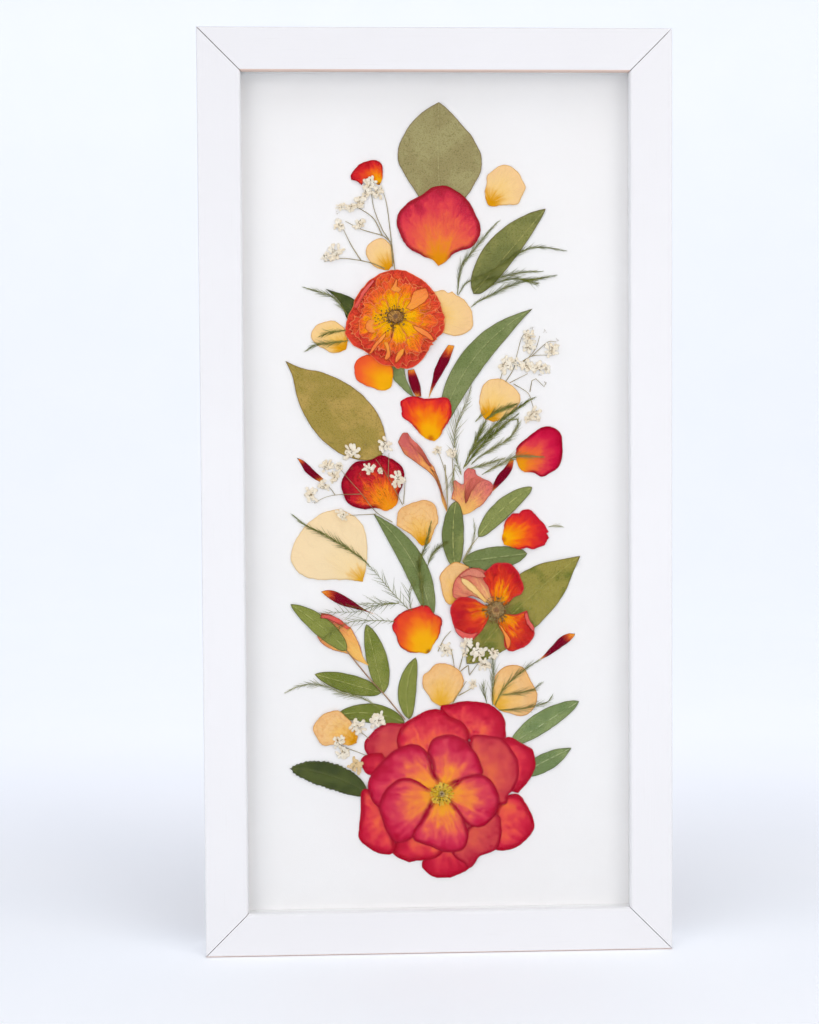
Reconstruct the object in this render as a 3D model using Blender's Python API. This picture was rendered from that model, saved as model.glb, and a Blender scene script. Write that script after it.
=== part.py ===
"""Pressed flower frame: a white wooden box frame, glazed, with dried leaves, petals and two rose
heads glued to its mount board. Metres, +Z up, front facing -Y, standing on its bottom rail."""

import math

import bmesh
import bpy
from mathutils import Matrix, Vector

MM = 0.001
GAP = 0.3 * MM                    # clearance wherever two pieces touch

# Frame
FRAME_WIDTH = 230 * MM
FRAME_HEIGHT = 451 * MM
FRAME_DEPTH = 30 * MM
RAIL_FACE = 21 * MM               # width of a rail seen from the front
REBATE = 6 * MM                   # how far the lip overlaps the glass
LIP_THICKNESS = 3.6 * MM
OUTER_ROUND = 0.9 * MM
LIP_ROUND = 1.5 * MM
ROUND_STEPS = 3

# What lies in the rebate, front to back
GLASS_THICKNESS = 2.0 * MM
SPACER_THICKNESS = 3.5 * MM
SPACER_WIDTH = 5.0 * MM
MOUNT_BOARD_THICKNESS = 2.0 * MM
BACKING_THICKNESS = 3.0 * MM
REBATE_CLEARANCE = 0.5 * MM

# Flexible steel tabs that hold the backing in
TAB_WIDTH = 12 * MM
TAB_LENGTH = 17 * MM
TAB_IN_WOOD = 5 * MM
TAB_THICKNESS = 0.6 * MM
LONG_RAIL_TAB_HEIGHTS = (115 * MM, 336 * MM)

# Sawtooth hanger on the back of the top rail
HANGER_LENGTH = 45 * MM
HANGER_HEIGHT = 8.5 * MM
HANGER_SHEET = 0.7 * MM
HANGER_STANDOFF = 1.0 * MM
HANGER_RAMP = 2 * MM
HANGER_TEETH = 11
TOOTH_PITCH = 1.9 * MM
TOOTH_DEPTH = 1.4 * MM
NAIL_SPACING = 38 * MM
NAIL_RADIUS = 0.8 * MM
NAIL_LENGTH = 10 * MM
NAIL_HEAD_RADIUS = 1.9 * MM
NAIL_HEAD_THICKNESS = 0.7 * MM

# Pressed pieces lie in thin levels on the mount board
PRESSED_THICKNESS = 0.3 * MM
LEVEL_PITCH = 0.6 * MM
CURVE_STEPS = 3
HEART_SIDES = 20
CORNER = True                     # third item of an outline point that stays sharp

# Depths, all measured along +Y. The hanger is the rearmost piece.
HANGER_DEPTH = GAP + HANGER_STANDOFF + HANGER_SHEET
FRONT_Y = -(FRAME_DEPTH + HANGER_DEPTH) / 2
BACK_Y = FRONT_Y + FRAME_DEPTH
GLASS_Y = FRONT_Y + LIP_THICKNESS + GAP
SPACER_Y = GLASS_Y + GLASS_THICKNESS + GAP
BOARD_Y = SPACER_Y + SPACER_THICKNESS + GAP
BACKING_Y = BOARD_Y + MOUNT_BOARD_THICKNESS + GAP
TAB_Y = BACKING_Y + BACKING_THICKNESS + GAP
CENTRE_Z = FRAME_HEIGHT / 2
INNER_WIDTH = FRAME_WIDTH - 2 * (RAIL_FACE - REBATE)
INNER_HEIGHT = FRAME_HEIGHT - 2 * (RAIL_FACE - REBATE)

# name: (colour, roughness, metallic)
FINISHES = {
    "white_lacquer": ((0.86, 0.86, 0.85), 0.45, 0.0),
    "clear_glass": ((0.93, 0.96, 0.95), 0.05, 0.0),
    "white_foam_spacer": ((0.88, 0.88, 0.87), 0.8, 0.0),
    "white_mount_board": ((0.88, 0.88, 0.88), 0.85, 0.0),
    "brown_hardboard": ((0.33, 0.21, 0.12), 0.75, 0.0),
    "zinc_steel": ((0.62, 0.62, 0.60), 0.35, 1.0),
    "brass_plate": ((0.75, 0.60, 0.30), 0.35, 1.0),
    "olive_leaf": ((0.16, 0.20, 0.07), 0.7, 0.0),
    "ochre_leaf": ((0.36, 0.29, 0.09), 0.7, 0.0),
    "dark_leaf": ((0.06, 0.10, 0.03), 0.7, 0.0),
    "crimson_petal": ((0.60, 0.02, 0.06), 0.6, 0.0),
    "orange_petal": ((0.80, 0.16, 0.04), 0.6, 0.0),
    "cream_petal": ((0.85, 0.68, 0.38), 0.6, 0.0),
    "yellow_stamens": ((0.55, 0.38, 0.06), 0.8, 0.0),
    "brown_stamens": ((0.30, 0.20, 0.11), 0.8, 0.0),
}

# Leaves: name, level, base, tip, width, bend to the left, fullness at base and tip, drip tip, finish.
# Places and sizes are millimetres across and up from the middle of the frame's bottom edge.
LEAVES = (
    ("leaf_top_right", 0, (18.3, 323.5), (54, 365), 15.2, 3.2, 0.6, 0.85, 0, "olive_leaf"),
    ("leaf_long_upper", 0, (2, 258), (47.5, 316.3), 12.4, 7.9, 0.6, 0.65, 0.05, "olive_leaf"),
    ("leaf_ochre", 0, (-27.3, 244.5), (-73.8, 291.2), 29.4, 0, 0.62, 0.86, 0.07, "ochre_leaf"),
    ("leaf_upright", 0, (8.8, 189.5), (9.3, 222.3), 10.8, 1.3, 0.55, 0.6, 0, "olive_leaf"),
    ("leaf_middle_right", 0, (20.2, 204.3), (47, 228.8), 9.2, 2, 0.6, 0.65, 0, "olive_leaf"),
    ("leaf_long_left", 0, (-3, 164), (-31.5, 216.3), 11.4, -5.4, 0.6, 0.75, 0.03, "olive_leaf"),
    ("leaf_dark_middle", 0, (12.3, 192.3), (44.4, 196), 11.4, -0.4, 0.6, 0.65, 0, "dark_leaf"),
    ("leaf_broad_right", 0, (14, 141.5), (70.7, 194.6), 25.4, 2.3, 0.75, 0.62, 0.07, "olive_leaf"),
    ("leaf_far_left", 0, (-44.8, 149), (-72.3, 172), 9.4, -1.2, 0.6, 0.75, 0, "olive_leaf"),
    ("sprig_leaf_upper", 1, (-27, 127.6), (-35.2, 161.8), 10.4, -0.9, 0.6, 0.75, 0, "olive_leaf"),
    ("sprig_leaf_left", 0, (-28, 127.9), (-60.8, 137.4), 9.4, 0, 0.6, 0.75, 0, "olive_leaf"),
    ("sprig_leaf_right", 0, (-14.5, 114.5), (-11, 145), 9, 2.5, 0.6, 0.7, 0, "olive_leaf"),
    ("sprig_leaf_lower", 0, (-16.5, 113), (-50, 117), 9.6, -2.7, 0.6, 0.65, 0, "olive_leaf"),
    ("leaf_serrated", 0, (-35, 78), (-73.5, 91), 13.6, -2.6, 0.6, 0.65, 0, "dark_leaf"),
    ("leaf_lower_right", 0, (36, 101.5), (70, 122.5), 10.2, 1, 0.6, 0.7, 0, "olive_leaf"),
    ("leaf_lowest_right", 0, (39, 86), (66, 99.2), 9, -0.6, 0.6, 0.65, 0.04, "olive_leaf"),
)

# Outlines drawn by hand: name, level, finish, points clockwise from the top.
OUTLINES = (
    ("leaf_eucalyptus", 0, "olive_leaf", (
        (1.9, 416.6, CORNER), (5.5, 413.9), (12, 407), (19.5, 397.5), (22.8, 387.5), (19.5, 377.5),
        (11, 367), (3, 362.5, CORNER), (-5, 366.5), (-9.7, 373.5), (-14.5, 381), (-18.3, 390),
        (-15.7, 400), (-9.5, 408.7), (-2.5, 414.2))),
    ("petal_top", 1, "crimson_petal", (
        (3, 376.2), (9.5, 374), (15.8, 368.8), (19.8, 362), (21.8, 353.5), (18, 346.8), (10, 343.8),
        (5, 339.6), (1.3, 337.2, CORNER), (-1.5, 340), (-5.5, 341.8), (-14, 347), (-18, 354.5),
        (-18.9, 360), (-15.5, 366), (-8.5, 370.8))),
    ("petal_crimson_right", 0, "crimson_petal", (
        (55, 258.5), (60.5, 256), (62, 251.2), (62.2, 246.5), (60.3, 239), (56, 235.6), (52, 233.9),
        (47, 236), (42.5, 236.4), (39.5, 241), (39.6, 248.2), (44.5, 253))),
    ("petal_veined_left", 1, "crimson_petal", (
        (-27, 245), (-22, 242.8), (-17.5, 239.5), (-16.2, 232.5), (-18.2, 227), (-20, 221),
        (-24.5, 217.6), (-30, 219), (-35.5, 218.6), (-40.5, 219.4), (-45.8, 225), (-46.8, 230.5),
        (-44, 237.5), (-40, 241.4), (-33, 242.3))),
    ("petal_pale_large", 0, "cream_petal", (
        (-51, 218.2), (-42, 216), (-36.6, 210), (-34.6, 199), (-35.3, 189), (-36.8, 182.7, CORNER),
        (-43, 183.6), (-53, 184), (-62, 184.6), (-69, 188.3), (-72, 195.5), (-69.5, 203.5),
        (-63.5, 211.5))),
    ("petal_flame_middle", 1, "orange_petal", (
        (-5.5, 170.8), (-2.3, 167.4), (1.2, 165), (2, 161), (-0.5, 154), (-4.6, 147.6, CORNER),
        (-9, 147.1), (-18, 150), (-20.5, 156), (-22.6, 161.3), (-17.5, 167.3), (-11, 169.8))),
    ("rose_dried_head", 0, "orange_petal", (
        (-20, 335.5), (-12, 333.5), (-3, 327), (1.5, 320.5), (3.5, 313), (4, 306), (-1.5, 300.5),
        (-4.5, 295), (-11.5, 288), (-20, 288), (-28, 290), (-33, 294.5), (-42, 300), (-44.5, 306),
        (-41.5, 316), (-37.5, 324.5), (-30, 332))),
    ("open_rose_petal_upper_right", 2, "crimson_petal", (
        (30, 191.6), (37.5, 190), (41.3, 183), (42.4, 178), (37.5, 174), (34.3, 171.6), (31.5, 174.4),
        (27.5, 174), (24.8, 179.5), (22.4, 184.5), (24.5, 188.5))),
    ("open_rose_petal_upper_left", 1, "cream_petal", (
        (18, 189.3), (24, 187), (27.5, 180), (29, 174.9), (24.4, 172.8), (17, 175.2), (9, 174),
        (7.4, 178), (9.5, 184.5))),
    ("open_rose_petal_lower_left", 2, "crimson_petal", (
        (12, 175), (20.5, 172.3), (22.8, 169.6), (22.8, 166.6), (23.8, 162.5), (20, 156.5), (15.5, 153.2),
        (9.5, 158.5), (6.8, 164), (6.3, 168.8), (8.3, 173))),
    ("open_rose_petal_lower_right", 1, "orange_petal", (
        (30, 162), (34.3, 165), (39, 166), (44, 167.7, CORNER), (45.5, 162), (47.8, 158.2),
        (46.3, 153), (41.5, 149.3), (34.3, 148.4), (32.5, 155.5))),
    ("rose_petal_outer_top_right", 0, "crimson_petal", (
        (1, 120.2), (6, 121.8), (13.5, 123), (22, 122.3), (28.5, 119.5), (32.5, 114.5), (33.4, 109.5),
        (33, 104.5), (27, 101), (18, 102), (12, 108), (5, 114))),
    ("rose_petal_outer_right_low", 0, "crimson_petal", (
        (34.5, 76.2), (40.5, 75.8), (43.8, 70.5), (47.3, 63), (46.3, 57.3), (42, 52.5), (36.5, 49.2),
        (30, 48.4), (26, 50), (25, 58), (27.5, 67), (30, 72))),
    ("rose_petal_outer_top", 1, "crimson_petal", (
        (-4, 119.2), (1.5, 118.8), (7, 115), (12.8, 112), (14.6, 108), (14.8, 104), (8, 99), (-6, 97),
        (-16, 98), (-20.5, 102), (-20.2, 107), (-17, 112.3), (-9.5, 116.7))),
    ("rose_petal_outer_right", 1, "orange_petal", (
        (20, 106.5), (26, 105.7), (31.5, 104.3), (36.5, 98.5), (39.6, 91), (39.3, 84.5), (36.5, 78.5),
        (34, 75.3), (33.8, 72.3), (30.5, 71.5), (24, 75), (19.5, 84), (16, 96), (16.8, 105.5))),
    ("rose_petal_outer_bottom_right", 1, "orange_petal", (
        (25, 66), (29.3, 66.5), (31, 60), (30.4, 54), (28.6, 49.3), (24, 47), (19.5, 45), (18, 42.6),
        (15.2, 40), (12, 43), (7, 46.5), (6, 50), (12, 57), (18, 63))),
    ("rose_petal_outer_left", 1, "crimson_petal", (
        (-37.3, 79.8), (-31, 77), (-27.5, 70), (-24, 60), (-21.5, 52), (-23, 48), (-27, 47.4), (-31, 48.5),
        (-35.5, 51.5), (-39.2, 55), (-39.5, 60), (-38.8, 66), (-38.5, 73))),
    ("rose_petal_upper_left", 2, "crimson_petal", (
        (-13, 102.2), (-7.5, 100.3), (-4.5, 95), (-3, 89), (-1, 83.8), (-3.4, 81.6), (-9, 78),
        (-17, 74), (-26, 70), (-31.3, 72.5), (-34, 78), (-35, 83), (-31.5, 90), (-26, 96), (-19, 101))),
    ("rose_petal_left", 3, "crimson_petal", (
        (-15, 85.6), (-10.5, 84), (-6.5, 80.8), (-4.4, 79), (-4.3, 75.5), (-5, 70.5), (-8.5, 63),
        (-12, 57), (-16, 54.2), (-21.5, 53.6), (-25.3, 58.3), (-28.3, 65.5), (-29.3, 73.5), (-26, 80.3),
        (-21, 84.3))),
    ("rose_petal_top", 3, "crimson_petal", (
        (4.5, 107), (11, 105), (17, 99.3), (20.8, 92.5), (21.2, 86.5), (14, 85), (8, 82.9), (4.5, 83.2),
        (1, 83.4), (-1.8, 86.5), (-3.6, 93), (-5, 100.5), (-2.5, 104.5))),
    ("rose_petal_right", 4, "crimson_petal", (
        (19, 87), (24, 85.6), (28, 80.3), (29.8, 74), (28, 67), (24, 62.5), (20, 60.8), (15.5, 61.3),
        (12, 64.5), (9, 68.5), (7, 73), (7.1, 79.5), (9.5, 83.6), (13.5, 85.8))),
    ("rose_petal_bottom", 5, "crimson_petal", (
        (1.5, 71.6), (5.5, 72.8), (9, 70.2), (12.5, 64), (14.4, 57), (13.3, 51.5), (9, 48.7), (3.5, 48.4),
        (-3, 51), (-9, 53), (-12.8, 55.5), (-12.5, 59.5), (-9, 64), (-6, 68.5), (-3, 72.3))),
)

# Seed heads at the middle of the two open roses: name, middle, radius, first and last level, finish.
HEARTS = (
    ("rose_heart", (1.5, 77.5), 4.6, 0, 5, "yellow_stamens"),
    ("open_rose_heart", (28.8, 168.4), 5.0, 1, 3, "brown_stamens"),
)


# ---------------------------------------------------------------- helpers

def finish(name):
    """The named finish as a material, made once."""
    material = bpy.data.materials.get(name)
    if material is None:
        colour, roughness, metallic = FINISHES[name]
        material = bpy.data.materials.new(name)
        material.use_nodes = True
        shader = material.node_tree.nodes["Principled BSDF"]
        shader.inputs["Base Color"].default_value = (*colour, 1)
        shader.inputs["Roughness"].default_value = roughness
        shader.inputs["Metallic"].default_value = metallic
    return material


def add(name, data, finish_name, collection):
    """A named object that holds this mesh or curve."""
    made = bpy.data.objects.new(name, data)
    data.materials.append(finish(finish_name))
    collection.objects.link(made)
    return made


def box_mesh(name, size, middle):
    """A box of this size about this point."""
    bm = bmesh.new()
    bmesh.ops.create_cube(bm, size=1, matrix=Matrix.Translation(middle) @ Matrix.Diagonal((*size, 1)))
    mesh = bpy.data.meshes.new(name)
    bm.to_mesh(mesh)
    bm.free()
    return mesh


def round_bars(name, bars, sides):
    """Coaxial round bars along Y as one mesh: each bar is its radius, first y, last y and middle (x, z)."""
    bm = bmesh.new()
    for radius, first, last, (x, z) in bars:
        place = Matrix.Translation((x, (first + last) / 2, z)) @ Matrix.Rotation(math.pi / 2, 4, "X")
        bmesh.ops.create_cone(bm, cap_ends=True, segments=sides, radius1=radius, radius2=radius,
                              depth=last - first, matrix=place)
    mesh = bpy.data.meshes.new(name)
    bm.to_mesh(mesh)
    bm.free()
    return mesh


def flat_curve(name, half_thickness):
    """An empty filled 2D curve whose sheet has this half thickness."""
    curve = bpy.data.curves.new(name, "CURVE")
    curve.dimensions = "2D"
    curve.fill_mode = "BOTH"
    curve.extrude = half_thickness
    return curve


def polygon_curve(name, points, half_thickness):
    """A straight-sided outline as a filled sheet."""
    curve = flat_curve(name, half_thickness)
    spline = curve.splines.new("POLY")
    spline.points.add(len(points) - 1)
    for place, (x, y) in zip(spline.points, points):
        place.co = (x, y, 0, 1)
    spline.use_cyclic_u = True
    return curve


def smooth_curve(name, points, half_thickness):
    """A round outline as a filled sheet; a point with a third item stays a corner."""
    curve = flat_curve(name, half_thickness)
    curve.resolution_u = CURVE_STEPS
    spline = curve.splines.new("BEZIER")
    spline.bezier_points.add(len(points) - 1)
    for place, point in zip(spline.bezier_points, points):
        place.co = (point[0], point[1], 0)
        handle = "VECTOR" if len(point) > 2 else "AUTO"
        place.handle_left_type = place.handle_right_type = handle
    spline.use_cyclic_u = True
    return curve


def as_mesh(curve, matrix, name):
    """A filled curve turned into one closed mesh, put where matrix says."""
    guide = bpy.data.objects.new(name + "_guide", curve)
    bpy.context.scene.collection.objects.link(guide)
    evaluated = guide.evaluated_get(bpy.context.evaluated_depsgraph_get())
    mesh = bpy.data.meshes.new_from_object(evaluated)
    mesh.name = name
    bpy.data.objects.remove(guide)
    mesh.materials.clear()
    bm = bmesh.new()
    bm.from_mesh(mesh)
    bmesh.ops.remove_doubles(bm, verts=bm.verts, dist=0.01 * MM)
    bmesh.ops.transform(bm, matrix=matrix, verts=bm.verts)
    bmesh.ops.recalc_face_normals(bm, faces=bm.faces)
    bm.to_mesh(mesh)
    bm.free()
    return mesh


def cut(target, mesh, cutters):
    """Takes the mesh's shape out of the target."""
    cutter = bpy.data.objects.new(mesh.name, mesh)
    cutter.hide_render = True
    cutter.display_type = "WIRE"
    cutters.objects.link(cutter)
    modifier = target.modifiers.new("cut " + mesh.name, "BOOLEAN")
    modifier.operation = "DIFFERENCE"
    modifier.solver = "EXACT"
    modifier.object = cutter


# ---------------------------------------------------------------- frame

def arc(centre, radius, start, end):
    """Points of an arc from one angle to the other, in degrees."""
    for step in range(ROUND_STEPS + 1):
        angle = math.radians(start + (end - start) * step / ROUND_STEPS)
        yield (centre[0] + radius * math.cos(angle), centre[1] + radius * math.sin(angle))


def rail_section(outer):
    """Cross-section of a rail: x runs inwards from the outer side, y runs back from the front."""
    back = FRONT_Y + FRAME_DEPTH
    inner = outer + RAIL_FACE
    wall = inner - REBATE
    lip = FRONT_Y + LIP_THICKNESS
    points = list(arc((outer + OUTER_ROUND, FRONT_Y + OUTER_ROUND), OUTER_ROUND, 180, 270))
    points += arc((inner - LIP_ROUND, FRONT_Y + LIP_ROUND), LIP_ROUND, 270, 360)
    points += [(inner, lip), (wall, lip), (wall, back), (outer, back)]
    return points


def rail(name, length, across, turn, collection):
    """A mitred rail. It is modelled as the left rail about the frame's middle, then turned into place."""
    mesh = as_mesh(polygon_curve(name, rail_section(-across / 2), length / 2), Matrix.Identity(4), name)
    bm = bmesh.new()
    bm.from_mesh(mesh)
    for end in (-1, 1):
        normal = Vector((1, 0, end)).normalized()
        corner = Vector((-across / 2, 0, end * length / 2)) - normal * GAP / 2
        cut_plane = bmesh.ops.bisect_plane(bm, geom=bm.verts[:] + bm.edges[:] + bm.faces[:],
                                           plane_co=corner, plane_no=normal, clear_outer=True)
        edges = [item for item in cut_plane["geom_cut"] if isinstance(item, bmesh.types.BMEdge)]
        bmesh.ops.contextual_create(bm, geom=edges)
    place = Matrix.Translation((0, 0, CENTRE_Z)) @ Matrix.Rotation(math.radians(turn), 4, "Y")
    bmesh.ops.transform(bm, matrix=place, verts=bm.verts)
    bmesh.ops.recalc_face_normals(bm, faces=bm.faces)
    bm.to_mesh(mesh)
    bm.free()
    return add(name, mesh, "white_lacquer", collection)


def make_rails(collection):
    return {
        "left": rail("rail_left", FRAME_HEIGHT, FRAME_WIDTH, 0, collection),
        "right": rail("rail_right", FRAME_HEIGHT, FRAME_WIDTH, 180, collection),
        "bottom": rail("rail_bottom", FRAME_WIDTH, FRAME_HEIGHT, -90, collection),
        "top": rail("rail_top", FRAME_WIDTH, FRAME_HEIGHT, 90, collection),
    }


def make_sheet(name, front, thickness, finish_name, collection):
    """A sheet that fills the rebate: the glass, the mount board or the backing."""
    size = (INNER_WIDTH - 2 * REBATE_CLEARANCE, thickness, INNER_HEIGHT - 2 * REBATE_CLEARANCE)
    add(name, box_mesh(name, size, (0, front + thickness / 2, CENTRE_Z)), finish_name, collection)


def make_spacers(collection):
    """Four strips that hold the glass off the flowers, butted at the corners."""
    width = INNER_WIDTH - 2 * REBATE_CLEARANCE
    height = INNER_HEIGHT - 2 * REBATE_CLEARANCE
    y = SPACER_Y + SPACER_THICKNESS / 2
    side_height = height - 2 * SPACER_WIDTH - 2 * GAP
    for name, side in (("spacer_left", -1), ("spacer_right", 1)):
        middle = (side * (width - SPACER_WIDTH) / 2, y, CENTRE_Z)
        size = (SPACER_WIDTH, SPACER_THICKNESS, side_height)
        add(name, box_mesh(name, size, middle), "white_foam_spacer", collection)
    for name, side in (("spacer_bottom", -1), ("spacer_top", 1)):
        middle = (0, y, CENTRE_Z + side * (height - SPACER_WIDTH) / 2)
        size = (width, SPACER_THICKNESS, SPACER_WIDTH)
        add(name, box_mesh(name, size, middle), "white_foam_spacer", collection)


def make_tabs(rails, collection, cutters):
    """Steel tabs over the backing, each driven into a slot in its rail's rebate wall."""
    wall_x = INNER_WIDTH / 2
    wall_z = INNER_HEIGHT / 2
    places = [("left", -1, 0, (-wall_x, z)) for z in LONG_RAIL_TAB_HEIGHTS]
    places += [("right", 1, 0, (wall_x, z)) for z in LONG_RAIL_TAB_HEIGHTS]
    places += [("bottom", 0, -1, (0, CENTRE_Z - wall_z)), ("top", 0, 1, (0, CENTRE_Z + wall_z))]
    reach = TAB_IN_WOOD - TAB_LENGTH / 2
    slot_mouth = 2 * MM
    slot_reach = (TAB_IN_WOOD + GAP - slot_mouth) / 2
    y = TAB_Y + TAB_THICKNESS / 2
    for number, (side, out_x, out_z, (x, z)) in enumerate(places, 1):
        def oriented(length, width, thickness):
            return (length, thickness, width) if out_x else (width, thickness, length)
        name = f"tab_{side}_{number}"
        middle = (x + out_x * reach, y, z + out_z * reach)
        tab = box_mesh(name, oriented(TAB_LENGTH, TAB_WIDTH, TAB_THICKNESS), middle)
        add(name, tab, "zinc_steel", collection)
        slot_size = oriented(TAB_IN_WOOD + GAP + slot_mouth, TAB_WIDTH + 2 * GAP, TAB_THICKNESS + 2 * GAP)
        slot_middle = (x + out_x * slot_reach, y, z + out_z * slot_reach)
        cut(rails[side], box_mesh("slot_" + name, slot_size, slot_middle), cutters)


def make_hanger(rails, collection, cutters):
    """A bent steel strap with a toothed lower edge, and the two nails that fix it to the top rail."""
    half = HANGER_LENGTH / 2
    flat_end = half - (HANGER_LENGTH - NAIL_SPACING)
    low, high = GAP, GAP + HANGER_STANDOFF
    face = [(-half, low), (-flat_end, low), (-flat_end + HANGER_RAMP, high)]
    face += [(-x, y) for x, y in reversed(face)]
    strap = face + [(x, y + HANGER_SHEET) for x, y in reversed(face)]
    z = FRAME_HEIGHT - (RAIL_FACE - REBATE) / 2
    upright = Matrix.Translation((0, BACK_Y, z))
    mesh = as_mesh(polygon_curve("strap", strap, HANGER_HEIGHT / 2), upright, "sawtooth_hanger")
    hanger = add("sawtooth_hanger", mesh, "brass_plate", collection)

    first = -HANGER_TEETH * TOOTH_PITCH / 2
    edge = -HANGER_HEIGHT / 2
    teeth = [(first, edge - TOOTH_DEPTH)]
    for tooth in range(HANGER_TEETH):
        teeth += [(first + tooth * TOOTH_PITCH, edge), (first + (tooth + 0.5) * TOOTH_PITCH, edge + TOOTH_DEPTH)]
    teeth += [(-first, edge), (-first, edge - TOOTH_DEPTH)]
    facing = Matrix.Translation((0, BACK_Y, z)) @ Matrix.Rotation(math.pi / 2, 4, "X")
    cut(hanger, as_mesh(polygon_curve("teeth", teeth, 3 * MM), facing, "hanger_teeth"), cutters)

    for side, x in (("left", -NAIL_SPACING / 2), ("right", NAIL_SPACING / 2)):
        sheet_back = BACK_Y + GAP + HANGER_SHEET
        head_front = sheet_back + GAP / 2
        holes = [(NAIL_RADIUS + GAP, BACK_Y - NAIL_LENGTH - GAP, sheet_back + 1 * MM, (x, z))]
        cut(hanger, round_bars(f"hanger_hole_{side}", holes, 12), cutters)
        cut(rails["top"], round_bars(f"nail_hole_{side}", holes, 12), cutters)
        profile = [(0, BACK_Y - NAIL_LENGTH), (NAIL_RADIUS, BACK_Y - NAIL_LENGTH + 1.5 * MM),
                   (NAIL_RADIUS, head_front), (NAIL_HEAD_RADIUS, head_front),
                   (NAIL_HEAD_RADIUS, head_front + NAIL_HEAD_THICKNESS * 0.5),
                   (NAIL_HEAD_RADIUS * 0.7, head_front + NAIL_HEAD_THICKNESS * 0.65),
                   (0, head_front + NAIL_HEAD_THICKNESS * 0.65)]
        add(f"hanger_nail_{side}", turned(f"hanger_nail_{side}", profile, (x, z), 12), "zinc_steel", collection)


def turned(name, profile, middle, sides):
    """A profile of (radius, y) turned about a line along Y through the middle (x, z)."""
    bm = bmesh.new()
    verts = [bm.verts.new((radius, y, 0)) for radius, y in profile]
    edges = [bm.edges.new(pair) for pair in zip(verts, verts[1:])]
    bmesh.ops.spin(bm, geom=verts + edges, cent=(0, 0, 0), axis=(0, 1, 0), angle=2 * math.pi,
                   steps=sides, use_merge=True)
    bmesh.ops.remove_doubles(bm, verts=bm.verts, dist=0.01 * MM)
    bmesh.ops.transform(bm, matrix=Matrix.Translation((middle[0], 0, middle[1])), verts=bm.verts)
    bmesh.ops.recalc_face_normals(bm, faces=bm.faces)
    mesh = bpy.data.meshes.new(name)
    bm.to_mesh(mesh)
    bm.free()
    return mesh


# ---------------------------------------------------------------- pressed pieces

def leaf_outline(base, tip, width, bend, base_fullness, tip_fullness, drip, samples=6):
    """Outline of a lens-shaped leaf on a bent midrib; drip is the share of its length that is a thin tip."""
    base, tip = Vector(base), Vector(tip)
    along = tip - base
    left = Vector((-along.y, along.x)).normalized()
    fullest = base_fullness / (base_fullness + tip_fullness)

    def edge(t, side):
        blade = t / (1 - drip)
        half = width / 2 * (blade / fullest) ** base_fullness
        half *= ((1 - blade) / (1 - fullest)) ** tip_fullness
        return base + along * t + left * (bend * 4 * t * (1 - t) + side * half)

    spread = [(0.5 - 0.5 * math.cos(math.pi * (k + 1) / (samples + 1))) * (1 - drip) for k in range(samples)]
    points = [(*base, CORNER)] + [(*edge(t, 1),) for t in spread]
    points += [(*tip, CORNER)] + [(*edge(t, -1),) for t in reversed(spread)]
    return points


def level_front(level):
    """How far forward of the mount board the back of a level lies."""
    return GAP + level * LEVEL_PITCH


def pressed(name, level, finish_name, outline, collection):
    """A pressed leaf or petal: a thin sheet with this outline, lying on its level."""
    points = [(p[0] * MM, p[1] * MM, *p[2:]) for p in outline]
    curve = smooth_curve(name, points, PRESSED_THICKNESS / 2)
    y = BOARD_Y - level_front(level) - PRESSED_THICKNESS / 2
    facing = Matrix.Translation((0, y, 0)) @ Matrix.Rotation(math.pi / 2, 4, "X")
    add(name, as_mesh(curve, facing, name), finish_name, collection)


def heart(name, middle, radius, first, last, finish_name, collection):
    """The domed seed head of an open rose."""
    back = BOARD_Y - level_front(first)
    front = BOARD_Y - level_front(last) - PRESSED_THICKNESS
    rise = back - front
    profile = [(0, back), (radius * 0.9, back), (radius, back - rise * 0.3), (radius * 0.95, back - rise * 0.6),
               (radius * 0.7, back - rise * 0.88), (radius * 0.35, front), (0, front + rise * 0.08)]
    profile = [(r * MM, y) for r, y in profile]
    place = (middle[0] * MM, middle[1] * MM)
    add(name, turned(name, profile, place, HEART_SIDES), finish_name, collection)


def make_pressed_pieces(collection):
    for name, level, base, tip, width, bend, base_full, tip_full, drip, finish_name in LEAVES:
        outline = leaf_outline(base, tip, width, bend, base_full, tip_full, drip)
        pressed(name, level, finish_name, outline, collection)
    for name, level, finish_name, outline in OUTLINES:
        pressed(name, level, finish_name, outline, collection)
    for name, middle, radius, first, last, finish_name in HEARTS:
        heart(name, middle, radius, first, last, finish_name, collection)


def main():
    for old in list(bpy.data.objects):
        bpy.data.objects.remove(old)
    parts = bpy.data.collections.new("pressed_flower_frame")
    cutters = bpy.data.collections.new("cutters")
    for collection in (parts, cutters):
        bpy.context.scene.collection.children.link(collection)
    rails = make_rails(parts)
    make_sheet("glazing_pane", GLASS_Y, GLASS_THICKNESS, "clear_glass", parts)
    make_spacers(parts)
    make_sheet("mount_board", BOARD_Y, MOUNT_BOARD_THICKNESS, "white_mount_board", parts)
    make_sheet("backing_board", BACKING_Y, BACKING_THICKNESS, "brown_hardboard", parts)
    make_tabs(rails, parts, cutters)
    make_hanger(rails, parts, cutters)
    make_pressed_pieces(parts)


main()
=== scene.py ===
import math

import bpy
import numpy as np
from mathutils import Matrix, Vector
from mathutils.geometry import delaunay_2d_cdt


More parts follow.
